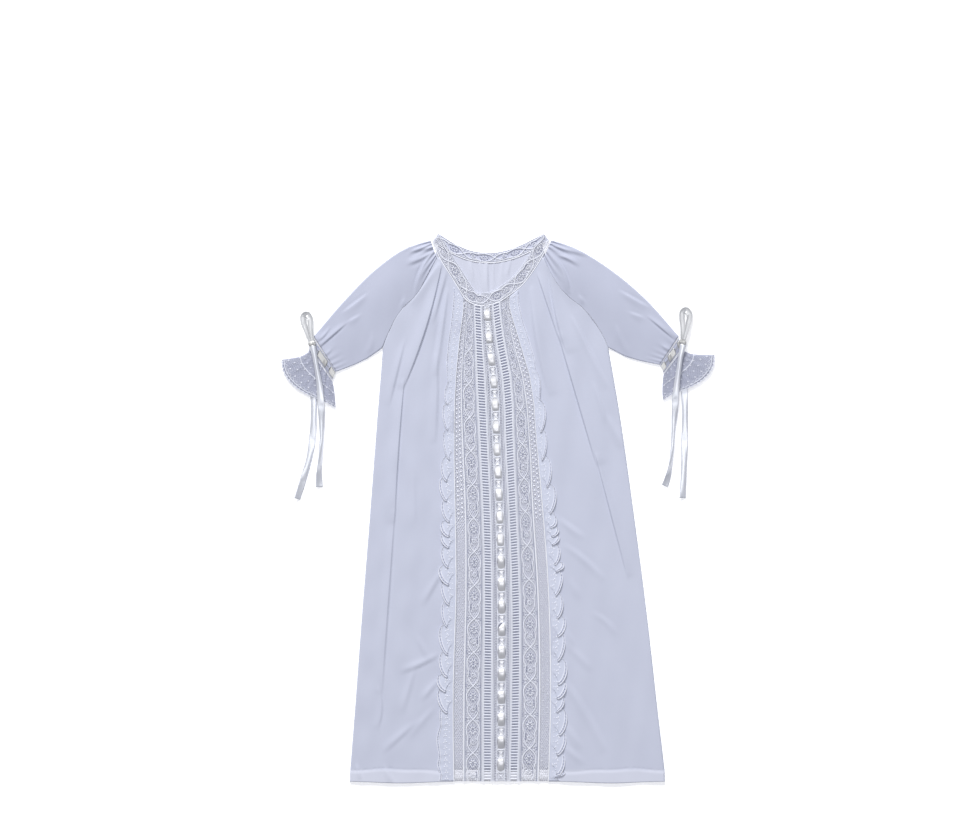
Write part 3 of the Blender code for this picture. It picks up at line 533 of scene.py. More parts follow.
tulle_thread = cotton_thread("Cotton tulle thread", "d3d6e3", "c6cad9")
# A closed sheet stands for the tulle's fine meshes, and its darker tone is painted shade between the two
# layers of net
tulle_ground_and_shade = cotton_thread("Close cotton tulle with painted shade", "b6b9cb", "acb0c3")
tulle_cord = cotton_thread("Embroidery on the tulle", "e8eaf3", "dcdfeb")
for word in ("left", "right"):
    half = FLOUNCE_DEPTH / 2
    place = flounce_place(word, True)
    under = flounce_place(word, False)
    flat = chart_grid(np.linspace(-half, half - 1.2, 15), np.linspace(0.0, FLOUNCE_CUT, 109), 0.0)
    front = place(flat.reshape(-1, 3)).reshape(flat.shape) - np.array((0.0, 0.0, 0.35))
    back = under(flat.reshape(-1, 3)).reshape(flat.shape)[::-4]
    meshes = [shell_mesh(np.concatenate([front, back[1:-1]]), tulle_ground_and_shade, 0.25, ring=True)]
    v = np.linspace(0.0, FLOUNCE_CUT, 8 * FLOUNCE_SCALLOPS + 1)
    scallop = np.abs(np.sin(math.pi * v / FLOUNCE_CUT * FLOUNCE_SCALLOPS))
    zigzag = 2 * np.abs((v / ZIGZAG_PITCH) % 1.0 - 0.5)
    # Cords across the middle, in the zigzag and beside it, in the scallops and at the seam: u, thickness
    cords = [(chart_line(u, v, 0.3), thick) for u, thick in (
        (-3.0, 1.1), (half - 6.4 + 2.6 * zigzag, 0.6), (half - 3.2, 1.1), (half - 1.5 + 1.3 * scallop, 1.3),
        (0.6 - half, 1.2))]
    spots = [(u, dot_v, 0.4, 0.0, 2.1, 2.6, 1.0)
             for row, u in enumerate(np.arange(5.0 - half, half - 7.0, DOT_ROWS))
             for dot_v in np.arange(3.0 + DOT_PITCH / 2 * (row % 2), FLOUNCE_CUT - 1.0, DOT_PITCH)]
    ground = net(FLOUNCE_DEPTH - 2.0, FLOUNCE_CUT, TULLE_MESH, 0.5, 0.1)
    meshes += laid([threads(ground, tulle_thread, 3), threads(cords, tulle_cord, 5),
                    stitches(spots, tulle_cord)], place)
    flounce = joined(f"tulle_flounce_{word}", meshes)
    stand_for(flounce, f"cuff_flounce_{word}")

# Cuff bands
# Beading lace 8 mm wide joins sleeve and flounce. The ribbon runs over and under its bars, and is tied
# at the upper fold with one drawn-up loop.
BAND_DEPTH, BAND_START = 8.4, 0.4    # across the band, and from the cuff seam to it
BAND_FRONT, BAND_FOLD, BAND_BACK = 3.2, 2.0, 0.6     # heights of its layers and side folds
CUFF_LENGTH = {word: float(np.linalg.norm(np.subtract(*ends))) for word, ends in CUFF_SEAM.items()}
CUFF_PITCH, CUFF_BAR = 0.5, 3.6      # bars are half the front's length apart, and 3.6 mm wide
FIRST_BAR = 0.23                     # where the first one lies, as a share of the front's length
PURL_PITCH = 1.9
CUFF_SATIN_HALF = 3.3
KNOT_PLACES = {"left": (-214.6, 189.6), "right": (212.6, 191.4)}
KNOT_SIZE = (9.0, 5.6, 2.4)          # along its turn, across it and thick
KNOT_MIDDLE = 7.1                    # its height
KNOT_TILT = {"left": 0.35, "right": -0.35}      # radians, upwards to the right
# Each loop: x, y, z and the ribbon's width as it looks from above
LOOP_ROUTES = {
    "left": (
        (-216.2, 192.4, 5.4, 4.4),
        (-221.4, 206.0, 2.2, 5.6),
        (-224.8, 216.0, 0.6, 6.8),
        (-224.6, 221.6, 0.8, 6.8),
        (-220.8, 223.8, 2.0, 6.8),
        (-217.4, 219.6, 3.4, 6.8),
        (-216.4, 208.6, 5.2, 5.8),
        (-214.2, 192.4, 6.9, 4.4),
    ),
    "right": (
        (212.4, 194.2, 5.4, 4.4),
        (212.8, 209.0, 2.2, 5.6),
        (212.2, 220.0, 0.6, 6.8),
        (213.0, 226.4, 0.8, 6.8),
        (216.6, 228.9, 2.0, 6.8),
        (220.1, 225.2, 3.4, 6.8),
        (218.8, 212.0, 5.2, 5.8),
        (213.8, 194.2, 6.9, 4.4),
    ),
}


def band_place(word, level):
    """Where a point of the band's chart lies: u runs out from the cuff seam, v along the cuff."""
    def place(flat):
        across = flat[:, 1] / CUFF_LENGTH[word]
        out = flat[:, 0] + BAND_DEPTH / 2 + BAND_START
        fold = np.sqrt(np.clip(np.minimum(across, 1 - across) / 0.04, 0.0, 1.0))
        z = BAND_FOLD + (level - BAND_FOLD) * fold + 0.7 * flat[:, 2]
        return np.column_stack([cuff_point(word, across, out), z])
    return place


cuff_lace = cotton_thread("Grey cotton lace", "b9bdce", "adb1c4")
cuff_satin = satin("Cream viscose satin ribbon", "d9dadc", "bbbcbe")
# The band and the knot are the loop's own ribbon; this darker copy of its satin is painted shade
shaded_cuff_satin = satin("Cream satin ribbon with painted shade", "c2c2c1", "b2b2b1")
for word in ("left", "right"):
    length, half = CUFF_LENGTH[word], BAND_DEPTH / 2
    bars = length * (FIRST_BAR + CUFF_PITCH * np.arange(2))
    meshes = []
    for level in (BAND_FRONT, BAND_BACK):
        v = np.linspace(0.2, length - 0.2, 80)
        purl = 0.35 * np.sin(2 * math.pi * v / PURL_PITCH)
        cords = [(chart_line(u + purl * turn, v, 0.0), thick) for u, thick, turn in (
            (0.4 - half, 0.9, -1), (1.5 - half, 0.7, 1), (half - 1.5, 0.7, -1), (half - 0.4, 0.9, 1))]
        for bar in bars:
            for lean in (-1, 0, 1):
                for shift in (-1, 0, 1):
                    middle = bar + shift * CUFF_BAR / 2 + np.array((-1, 0, 1)) * lean * 0.9
                    cords.append((chart_line((1.0 - half, 0.0, half - 1.0), middle, (0.0, 1.7, 0.0)), 0.8))
        spots = [(u, purl_v, 0.1, 0.0, 1.2, 1.0, 0.9)
                 for purl_v in np.arange(1.0, length, PURL_PITCH) for u in (0.2 - half, half - 0.5)]
        meshes += laid([threads(cords, cuff_lace, 5), stitches(spots, cuff_lace)], band_place(word, level))
    stand_for(joined(f"beading_cuff_{word}", meshes), f"cuff_band_{word}")

    # The ribbon dips under each bar and swells before it
    v = np.linspace(0.6, length - 0.6, 110)
    before = ((bars[:, None] - v).T % (length * CUFF_PITCH)).min(1)
    dip = np.exp(-(np.abs(v[:, None] - bars).min(1) / (0.8 * CUFF_BAR)) ** 4)
    swell = np.exp(-((before - 5.0) / 2.6) ** 2)
    width = CUFF_SATIN_HALF * (1 - 0.12 * dip)
    grid = []
    for part in ACROSS_RIBBON:
        height = BAND_FRONT + 0.35 - 1.1 * dip + 1.1 * swell * (1 - 0.5 * part**2)
        flat_place = cuff_point(word, v / length, half + BAND_START + width * part)
        grid.append(np.column_stack([flat_place, height]))
    strip = cloth(f"satin_band_{word}", np.stack(grid, axis=1), shaded_cuff_satin)
    stand_for(strip, f"cuff_ribbon_{word}")

    loop, _ = ribbon(f"satin_loop_{word}", LOOP_ROUTES[word], None, cuff_satin, curl=0.7)
    stand_for(loop, f"cuff_loop_{word}")

    # The knot is a tight turn of ribbon, lightly creased, with a slight waist in its middle
    angle = np.linspace(0.0, 2 * math.pi, 41)[:-1]
    run, rise = math.cos(KNOT_TILT[word]), math.sin(KNOT_TILT[word])
    grid = []
    for share in np.linspace(-0.98, 0.98, 15):
        size = (1 - share**4) ** 0.5 * (1 + 0.11 * np.cos(4 * angle + 3.0 * share)
                                        - 0.08 * math.exp(-(share / 0.2) ** 2))
        x, y = share * KNOT_SIZE[0] / 2, KNOT_SIZE[1] / 2 * size * np.cos(angle)
        grid.append(np.column_stack([KNOT_PLACES[word][0] + run * x - rise * y,
                                     KNOT_PLACES[word][1] + rise * x + run * y,
                                     KNOT_MIDDLE + KNOT_SIZE[2] / 2 * size * np.sin(angle)]))
    knot = cloth(f"satin_knot_{word}", np.stack(grid, axis=1), shaded_cuff_satin, ring=True)
    stand_for(knot, f"cuff_knot_{word}")

# Sleeves
# Raglan sleeves of plain batiste, the same fine cotton as the body. Each is one piece folded along its
# top, gathered to the neck band and to the cuff, and seamed to the front and back along the raglan.
FRONT_TOP, BACK_UNDER = 2.6, 0.15    # outer sides of the front layer and of the back layer
FOLD_ROUND = 1.3                     # how far from its edge a fold rounds off
UNDERARM = (125.0, 186.0)            # how far out it is, and its y
SLEEVE_FOLD = 1.4                    # the height of a sleeve's folded edges
SLEEVE_PUFF = 2.4
SLEEVE_GATHERS = (5, 7)              # across its front at the neck band, and at the cuff
ROWS, FRONT_STEPS, BACK_STEPS = 96, 84, 14     # of the mesh: along the sleeve, and across each layer
# A sleeve's gathers hold 15% more cloth than shows
# x where the sleeve's upper and lower edges start at the neck band and end at the cuff seam
SLEEVE_ENDS = {"left": ((-77.9, -213.0), (-71.2, -187.2)), "right": ((61.2, 208.4), (52.6, 186.4))}
# Creases: x and y of both ends, how far the middle bows to the left of that direction, how far it
# rises, and how far it spreads to the left and to the right
SLEEVE_CREASES = {
    "left": (
        (-71, 302, -102, 297, 0.0, 1.4, 2.0, 3.0),
        (-79, 294, -103, 283, 1.2, 1.6, 2.0, 3.0),
        (-78, 291, -94, 251, -3.5, 2.2, 7.0, 1.6),
        (-153, 245, -177, 226, 0.0, 1.2, 5.0, 1.5),
        (-160, 222, -173, 214, 0.0, 0.8, 4.0, 1.5),
        (-178, 211, -206, 187, 0.0, 1.5, 1.1, 4.0),
        (-196, 206, -209, 193, 1.2, 1.4, 1.5, 2.5),
        (-194, 182, -200, 175, 0.0, 1.0, 2.0, 2.0),
        (-146, 199, -149, 180, 1.2, 0.8, 3.0, 3.0),
        (-109, 242, -110, 232, 0.0, 0.9, 3.0, 2.0),
    ),
    "right": (
        (64, 302, 100, 293, 0.0, 1.4, 3.0, 2.0),
        (71, 291, 91, 282, 1.2, 1.6, 3.0, 2.0),
        (63, 290, 81, 251, 3.5, 2.2, 1.6, 7.0),
        (142, 249, 171, 232, 0.0, 1.2, 1.5, 5.0),
        (152, 225, 167, 219, 0.0, 0.8, 1.5, 4.0),
        (175, 219, 203, 196, 0.0, 1.5, 4.0, 1.1),
        (201, 210, 211, 201, 0.0, 1.4, 2.5, 1.5),
        (190, 187, 198, 181, 0.0, 1.0, 2.0, 2.0),
        (137, 208, 149, 179, -1.2, 0.8, 3.0, 3.0),
        (94, 245, 98, 236, 0.0, 0.9, 2.0, 3.0),
    ),
}


def outline(node, stations, axis):
    """Both ends of a CAD node along each line y = station (axis 1) or x = station (axis 0)."""
    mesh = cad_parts[node].data
    points = np.array([vertex.co[:2] for vertex in mesh.vertices]) / MM
    edges = points[np.array([edge.vertices[:] for edge in mesh.edges])]
    low, high = edges[:, :, axis].min(1), edges[:, :, axis].max(1)
    ends = []
    for station in stations:
        hit = edges[(low <= station) & (high >= station) & (high - low > 1e-6)]
        share = (station - hit[:, 0, axis]) / (hit[:, 1, axis] - hit[:, 0, axis])
        place = hit[:, 0, 1 - axis] + share * (hit[:, 1, 1 - axis] - hit[:, 0, 1 - axis])
        ends.append((place.min(), place.max()))
    return np.array(ends)


def crease_height(places, creases):
    """How far the creases lift the cloth at each place. Each is a ridge, often steeper on one side."""
    height = np.zeros(places.shape[:-1])
    for x0, y0, x1, y1, bow, rise, left, right in creases:
        start, end = np.array((x0, y0), float), np.array((x1, y1), float)
        reach = np.linalg.norm(end - start)
        run = (end - start) / reach
        side = np.array((-run[1], run[0]))
        share = np.clip(((places - start) @ run) / reach, 0.0, 1.0)
        off = (places - start) @ side - bow * 4 * share * (1 - share)
        past = np.maximum(0.0, np.abs(((places - start) @ run) / reach - 0.5) - 0.5) * reach
        spread = np.where(off > 0, left, right) * (0.7 + 0.6 * share)
        fade = np.sin(math.pi * (0.04 + 0.92 * share)) ** 0.6 * np.exp(-(past / 3.0) ** 2)
        sharp = min(left, right)
        gone = off if left < right else -off
        height += rise * fade * np.exp(-(off / spread) ** 2)
        height -= 0.2 * min(rise, 2.0) * fade * np.exp(-((gone - 2.1 * sharp) / sharp) ** 2)
    return height


def undulation(places, amount, seed):
    """Shallow, uneven waves of pressed cloth. They run mostly down the gown."""
    rng = np.random.default_rng(seed)
    height = np.zeros(places.shape[:-1])
    for _ in range(9):
        heading = rng.normal(0.0, 0.45)
        wavelength = rng.uniform(16.0, 60.0)
        along_wave = places[..., 0] * math.cos(heading) + places[..., 1] * math.sin(heading) * 0.6
        height += wavelength / 60.0 * np.sin(2 * math.pi * along_wave / wavelength + rng.uniform(0.0, 6.3))
    return amount * height


def smooth_step(value):
    """0 below 0 and 1 above 1, with a smooth slope between."""
    value = np.clip(value, 0.0, 1.0)
    return value * value * (3 - 2 * value)


def folded_down(z, level, edge, part):
    """Rounds the cloth off to a level towards a folded edge, as far as part says."""
    rounding = np.sqrt(1 - (1 - np.clip(edge / FOLD_ROUND, 0.0, 1.0)) ** 2)
    return level + (z - level) * (1 - part * (1 - rounding))


def batiste(name, light, shade, hem=None):
    """Fine cotton batiste, matt and softly mottled. Its plain weave is too close to show."""
    material, tree, shader = finish_of(name, Roughness=0.82, Sheen_Weight=0.15, Sheen_Roughness=0.6)
    where, tone = clouded(tree, shader, light, shade, 28.0, 4.0, 0.6)
    if hem:
        # Doubled cloth lets less light through, so a turned hem looks whiter
        top, white = hem
        split = add(tree, "ShaderNodeSeparateXYZ", {"Vector": where["Object"]})
        doubled = add(tree, "ShaderNodeMapRange", {
            "Value": split.outputs["Y"], "From Min": (top - 1.5) * MM, "From Max": (top + 1.5) * MM,
            "To Min": 1.0, "To Max": 0.0})
        hemmed = add(tree, "ShaderNodeMix", {"Factor": doubled.outputs["Result"], "A": tone.outputs[2],
                                            "B": linear(white)}, data_type="RGBA")
        tree.links.new(hemmed.outputs[2], shader.inputs["Base Color"])
    return material


sleeve_white = batiste("Cotton batiste of the sleeves", "bcc0d1", "b5b9cb")
for word, seed in (("left", 5), ("right", 6)):
    (upper_start, upper_end), (lower_start, lower_end) = SLEEVE_ENDS[word]
    upper_x, lower_x = np.linspace(upper_start, upper_end, 60), np.linspace(lower_start, lower_end, 60)
    upper = along(np.column_stack([upper_x, outline(f"sleeve_{word}", upper_x, 0)[:, 1]]), ROWS)
    lower = along(np.column_stack([lower_x, outline(f"sleeve_{word}", lower_x, 0)[:, 0]]), ROWS)
    station = np.linspace(0.0, 1.0, ROWS)
    across = np.linspace(0.0, 1.0, FRONT_STEPS)[:, None]
    places = lower + (upper - lower) * across[..., None]
    width = np.linalg.norm(upper - lower, axis=1)
    near_neck, near_cuff = np.maximum(0, 1 - 5 * station), np.maximum(0, 9 * station - 8)
    neck_turns, cuff_turns = (2 * math.pi * count * across for count in SLEEVE_GATHERS)
    neck_gathers = np.cos(neck_turns + 1.5 * np.sin(7 * across)) * near_neck
    cuff_gathers = np.cos(cuff_turns + 3.0 * np.sin(5 * across)) * near_cuff
    puff = SLEEVE_PUFF * np.sin(math.pi * (0.12 + 0.76 * station)) ** 2 * np.sin(math.pi * across) ** 1.2
    z = FRONT_TOP + puff + 0.7 * neck_gathers + 0.25 * cuff_gathers
    z = z + crease_height(places, SLEEVE_CREASES[word]) + undulation(places, 0.16, seed)
    # The lower fold starts at the underarm, and above it the sleeve lies flat on the body
    underarm = smooth_step((np.abs(lower[:, 0]) - UNDERARM[0]) / 12.0)
    z = folded_down(z, SLEEVE_FOLD, across * width, underarm)
    z = folded_down(z, SLEEVE_FOLD, (1 - across) * width, 1.0)
    front = np.concatenate([places, z[..., None]], axis=2)
    shares = np.linspace(1.0, 0.0, BACK_STEPS)[:, None]
    back = lower + (upper - lower) * (0.01 + 0.98 * shares[..., None])
    back = np.concatenate([back, np.full((BACK_STEPS, ROWS, 1), BACK_UNDER)], axis=2)
    sleeve = cloth(f"batiste_sleeve_{word}", np.concatenate([front, back]), sleeve_white, ring=True)
    stand_for(sleeve, f"sleeve_{word}")

# Back
# One panel of the same batiste, flat on the table. Only its inside shows, in the neck opening, where
# it hangs in a few soft folds below the band.
BACK_TOP = 1.2
BACK_CREASES = (
    (-32, 284, -27, 262, 0.0, 1.2, 1.2, 4.0),
    (-22, 284, -18, 244, 1.0, 1.3, 3.0, 1.2),
    (-13, 284, -12, 240, 0.0, 1.5, 1.2, 4.0),
    (-5, 284, -6, 240, 0.0, 1.1, 0.8, 0.8),
    (4, 284, 2, 250, 0.0, 1.0, 4.0, 1.4),
    (14, 286, 9, 260, 0.0, 0.8, 1.4, 4.0),
)
# y of the mesh's rows, which are closest beside the sleeves
BACK_ROWS = (270.0, 262.0, 254.0, 246.0, 238.0, 230.0, 215.0, 200.0, 185.0, *np.linspace(160.0, -313.8, 20))
top_x = np.linspace(-69.0, 51.0, 121)
top_row = np.column_stack([top_x, outline("back", top_x, 0)[:, 1]])
rows = []
for y in BACK_ROWS:
    (left, right), = outline("back", [y], 1)
    rows.append(np.column_stack([np.linspace(left, right, len(top_x)), np.full(len(top_x), y)]))
rows = [top_row + (rows[0] - top_row) * share for share in np.linspace(0.0, 0.92, 12)] + rows
grid = np.stack(rows)
z = BACK_TOP + crease_height(grid, BACK_CREASES)
inside_white = batiste("Inside of the back", "cdd0de", "c8cbda")
back = cloth("batiste_back", np.concatenate([grid, z[..., None]], axis=2), inside_white, wall=0.9)
stand_for(back, "back")

# Side fronts
# Two panels of batiste from the raglan and the side fold to the lace, gathered to the neck band, and
# turned up in a 13 mm hem. Long soft folds fan out from the gathers and die away down the skirt.
HEM_TOP, HEM_STEP = -302.0, 0.5          # the hem's stitched line, and how far it stands proud
FRONT_FOOT, FRONT_FOLD = -315.5, 0.9     # its lower end, and the height of its folded side
FRONT_CREASES = {
    "left": (
        (-67, 284, -98, 238, 0.0, 1.6, 6.0, 1.6),
        (-66, 279, -109, 141, 4.0, 2.6, 0.9, 8.0),
        (-109, 145, -120, -14, -1.2, 2.3, 0.9, 7.0),
        (-120, -5, -135, -210, 0.0, 1.6, 1.3, 7.0),
        (-59, 275, -75, 217, 0.0, 1.3, 1.6, 4.0),
        (-59, 249, -72, 157, 0.0, 2.0, 2.5, 2.5),
        (-71, 175, -73, 79, 1.2, 1.8, 1.4, 6.0),
        (-109, 190, -126, 122, 0.0, 1.2, 1.5, 5.0),
        (-66, -74, -86, -109, 0.0, 1.2, 2.0, 4.0),
        (-70, -170, -110, -188, 1.2, 1.4, 1.5, 4.0),
        (-93, -150, -82, -173, 0.0, 1.0, 3.0, 2.0),
        (-97, -187, -110, -233, 0.0, 1.0, 2.0, 4.0),
        (-71, -200, -86, -219, 0.0, 1.3, 2.0, 3.0),
        (-95, -247, -131, -279, 0.0, 1.0, 2.0, 4.0),
        (-74, -231, -102, -262, 0.0, 0.8, 3.0, 3.0),
        (-138, -208, -139, -252, 3.5, 1.0, 1.5, 4.0),
        (-98, 35, -96, -16, 0.0, 0.7, 2.0, 4.0),
        (-163, -296, -159, -313, 0.0, 1.0, 2.0, 3.0),
        (-130, -299, -123, -316, 0.0, 1.2, 2.0, 4.0),
    ),
    "right": (
        (54, 286, 88, 238, 0.0, 1.8, 1.6, 6.0),
        (46, 268, 71, 194, 0.0, 2.0, 5.0, 0.9),
        (70, 199, 113, 53, 0.0, 2.8, 8.0, 0.9),
        (113, 60, 149, -76, 0.0, 2.0, 6.0, 1.0),
        (60, 277, 79, 182, -3.5, 2.6, 8.0, 1.5),
        (38, 252, 60, 134, -3.5, 2.0, 7.0, 2.5),
        (86, 219, 124, 143, 0.0, 1.2, 1.8, 4.0),
        (111, 142, 124, 102, 0.0, 1.0, 2.0, 3.0),
        (128, 104, 141, 72, 0.0, 1.2, 4.0, 4.0),
        (71, -13, 97, -33, 0.0, 1.0, 2.0, 4.0),
        (77, -43, 120, -80, 2.3, 1.0, 2.0, 4.0),
        (83, -83, 92, -103, 0.0, 0.8, 3.0, 3.0),
        (111, -122, 134, -143, 2.3, 0.8, 2.0, 3.0),
        (74, -135, 86, -158, 0.0, 1.2, 2.0, 3.0),
        (77, -155, 106, -185, 0.0, 0.8, 3.0, 3.0),
        (75, -196, 122, -277, 2.3, 1.3, 2.0, 6.0),
        (71, -242, 94, -274, 0.0, 1.2, 2.0, 4.0),
        (75, -274, 97, -293, 0.0, 1.0, 2.0, 3.0),
    ),
}
# The longest crease of each front, from the neck to the hem: x, y. The mesh is closest along it
LONG_CREASE = {
    "left": ((-63, 289.5), (-66, 279), (-83.7, 209), (-109, 141), (-115.7, 65), (-120, -14), (-135, -210),
             (-138, -316)),
    "right": ((44, 289.5), (46, 268), (71, 194), (113, 53), (149, -76), (152, -200), (152, -316)),
}
front_white = batiste("Hemmed cotton batiste", "c4c8d8", "bec2d3", (HEM_TOP, "cdd0de"))
for word, side, seed in (("left", -1, 3), ("right", 1, 4)):
    heights = np.concatenate([np.linspace(289.3, -296.0, 214), np.linspace(-297.0, -308.0, 20),
                              np.linspace(-309.0, FRONT_FOOT, 8)])
    ends = outline(f"front_{word}", heights, 1)
    outer, inner = (ends[:, 0], ends[:, 1]) if side < 0 else (ends[:, 1], ends[:, 0])
    crease = np.array(LONG_CREASE[word])[::-1]
    crease = np.interp(heights, crease[:, 1], crease[:, 0])
    crease = np.clip(crease, np.minimum(outer, inner) + 3.0, np.maximum(outer, inner) - 3.0)
    near = np.linspace(0.0, 1.0, 43) ** 1.35
    x = np.concatenate([crease[:, None] + (outer - crease)[:, None] * near[::-1],
                        crease[:, None] + (inner - crease)[:, None] * near[1:]], axis=1)
    y = np.repeat(heights[:, None], x.shape[1], axis=1)
    least_x, most_x = (corner[0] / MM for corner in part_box(f"front_{word}"))
    hem_y = outline(f"front_{word}", np.clip(x[-1], least_x + 0.01, most_x - 0.01), 0)[:, 0]
    y[-8:] += (hem_y - FRONT_FOOT) * np.linspace(0.0, 1.0, 8)[:, None]
    places = np.stack([x, y], axis=2)
    z = FRONT_TOP + crease_height(places, FRONT_CREASES[word]) + undulation(places, 0.22, seed)
    # The hem is turned up by hand, a little deeper in places, and puckers at its stitches
    turned_at = HEM_TOP + 1.5 * np.sin(x * 0.045 + 1.0) + 0.6 * np.sin(x * 0.13)
    pucker = 0.13 + 0.11 * np.sin(x * 0.9 + 2 * np.sin(x * 0.23))
    z = z + HEM_STEP * smooth_step((turned_at - y) / 4.5) - pucker * np.exp(-((y - turned_at) / 1.3) ** 2)
    # Below the underarm, its side is a fold
    z = folded_down(z, FRONT_FOLD, np.abs(x - outer[:, None]), smooth_step((UNDERARM[1] - y) / 8.0))
    front = cloth(f"batiste_front_{word}", np.concatenate([places, z[..., None]], axis=2), front_white)
    stand_for(front, f"front_{word}")

# Neck band
# A ring of floral insertion lace, its seam edge covered by a white corded piping. It is pressed flat
# with a fold at each shoulder, so the back stretch shows its inside behind the neck opening.
BAND_WIDTH, BAND_BACK_WIDTH = 14.4, 11.5
NECK_FRONT_Z, NECK_FOLD_Z, NECK_BACK_Z = 2.3, 1.9, 1.5
FLORAL_START = 9.0                   # where in its repeat the chart starts at each shoulder
# Seam edges of the neck band, from the left shoulder to the right one and back again: x, y
NECK_FRONT = (
    (-75.9, 307.6),
    (-69.2, 291.6),
    (-54.1, 266.7),
    (-44.9, 252.0),
    (-37.2, 240.4),
    (-26.8, 234.6),
    (-11.8, 234.2),
    (2.1, 238.6),
    (13.6, 246.2),
    (28.3, 258.0),
    (40.0, 273.0),
    (51.6, 291.9),
    (59.2, 308.0),
)
NECK_BACK = (
    (59.2, 308.0),
    (38.0, 296.4),
    (17.0, 287.6),
    (-8.5, 283.0),
    (-34.0, 286.0),
    (-55.0, 294.6),
    (-75.9, 307.6),
)
SHOULDER_LEFT, SHOULDER_RIGHT = (-68.9, 316.7), (52.9, 316.7)
# The floral chart: one repeat along the lace, drawn for a strip whose half width is CHART_HALF. A pair
# of bands crosses at its start and parts round a rosette and a curl: v, u of one of them
FLORAL_REPEAT, CHART_HALF = 38.6, 8.5
FLORAL_BAND = ((0.0, 0.0), (5.0, 4.3), (10.5, 6.3), (16.5, 6.0), (22.0, 4.6), (28.0, 5.3), (34.0, 3.6))
ROSETTE_PLACE, CURL_PLACE = 12.5, 26.0
PINHOLE_STEP = 2.3
LACE_MESH = 2.3                      # a real ground has 1.5 mm meshes, too fine to draw


def floral(length, half, start):
    """Ground, bands and curls, padded stitches and pinholes of a stretch of floral insertion."""
    scale = half / CHART_HALF
    ground = net(2 * half - 3.4, length, LACE_MESH, 0.62)
    repeats = int(math.ceil((length + start) / FLORAL_REPEAT))
    route = [(r * FLORAL_REPEAT + v, (1 if r % 2 else -1) * u * scale)
             for r in range(-1, repeats + 1) for v, u in FLORAL_BAND]
    line = along(route, 18 * (repeats + 2))
    line[:, 0] -= start
    line = line[(line[:, 0] > 0.5) & (line[:, 0] < length - 0.5)]
    cords = [(chart_line(side * line[:, 1], line[:, 0], 0.35 + 0.1 * side), 1.3) for side in (-1, 1)]
    spots, holes = [], []
    for r in range(repeats + 1):
        rosette = r * FLORAL_REPEAT + ROSETTE_PLACE - start
        curl = r * FLORAL_REPEAT + CURL_PLACE - start
        cross = r * FLORAL_REPEAT - start
        flip = 1 if r % 2 else -1
        if 6.0 < rosette < length - 6.0:
            for k in range(8):
                turn = 2 * math.pi * (k + 0.5) / 8
                spots.append((2.3 * scale * math.cos(turn), rosette + 3.6 * math.sin(turn), 0.5,
                              math.degrees(turn), 2.4 * scale, 1.4, 1.0))
                turn = 2 * math.pi * k / 8
                holes.append((3.9 * scale * math.cos(turn), rosette + 5.3 * math.sin(turn)))
            holes += [(0.0, rosette - 1.3), (0.0, rosette + 1.3)]
        if 4.0 < curl < length - 4.0:
            turn = np.linspace(0.0, 2.6 * math.pi, 22)
            size = 2.9 - 2.1 * turn / turn[-1]
            curl_u = flip * scale * size * np.cos(turn)
            cords.append((chart_line(curl_u, curl + size * np.sin(turn), 0.6), 0.9))
            spots += [(flip * 3.2 * scale, curl - 3.6, 0.5, 40.0 * flip, 3.0, 1.3, 0.9),
                      (-flip * 2.8 * scale, curl + 4.2, 0.5, 50.0 * flip, 2.8, 1.3, 0.9)]
            holes += [(-flip * (3.4 + 0.4 * (k % 2)) * scale, curl - 4.0 + 1.9 * k) for k in range(4)]
            holes.append((flip * 1.2 * scale, curl + 0.4))
        if 3.0 < cross < length - 3.0:
            for side in (-1, 1):
                spots += [(side * 4.4 * scale, cross + 0.05 * lean, 0.5, side * lean, 3.2 * scale, 1.2, 0.9)
                          for lean in (35.0, -35.0)]
                holes += [(side * 6.6 * scale, cross - 1.2), (side * 6.6 * scale, cross + 1.2)]
    # A line of pinholes runs along each edge, between two cords
    v = np.linspace(0.0, length, max(2, int(length / 6)))
    for side in (-1, 1):
        cords += [(chart_line(side * (half - inward), v, 0.3), thick)
                  for inward, thick in ((0.35, 0.8), (1.75, 0.7))]
        holes += [(side * (half - 1.05), hole_v) for hole_v in np.arange(1.2, length - 0.8, PINHOLE_STEP)]
    holes = [(u, hole_v, 0.5, 0.0, 1.35, 1.35, 0.5) for u, hole_v in holes if 0.8 < hole_v < length - 0.8]
    return ground, cords, spots, holes


def neck_place(seam, width, away, tips, length, level):
    """Where a point of the band's chart lies: u from the seam edge to the neck edge, v along it."""
    line = along(seam, 500)
    run = np.gradient(line, axis=0)
    out = away * np.stack([-run[:, 1], run[:, 0]], axis=1) / np.linalg.norm(run, axis=1)[:, None]
    # Each end of the neck edge is drawn out to the tip of the shoulder
    edge = line + out * width
    walked = np.linspace(0.0, length, len(line))
    for tip, gone in ((tips[0], walked), (tips[1], length - walked)):
        pull = np.exp(-(gone / 9.0) ** 2)[:, None]
        nearest = edge[0] if gone[0] == 0 else edge[-1]
        edge = edge + (np.array(tip) - nearest) * pull

    def place(flat):
        at = np.clip(flat[:, 1], 0.0, length)
        low = np.column_stack([np.interp(at, walked, line[:, k]) for k in (0, 1)])
        high = np.column_stack([np.interp(at, walked, edge[:, k]) for k in (0, 1)])
        across = np.clip(flat[:, :1] / width + 0.5, -0.06, 1.0)
        fold = np.sqrt(np.clip(np.minimum(at, length - at) / 3.0, 0.0, 1.0))
        z = NECK_FOLD_Z + (level - NECK_FOLD_Z) * fold + 0.75 * flat[:, 2]
        return np.column_stack([low + (high - low) * across, z])

    return place


lace_thread = cotton_thread("Cotton lace", "eeeff5", "e5e6ef")
gimp = cotton_thread("White cotton gimp", "e9ebf3", "dfe2ec")
white_cord = cotton_thread("White seam cord", "f6f7fc", "eef0f7")
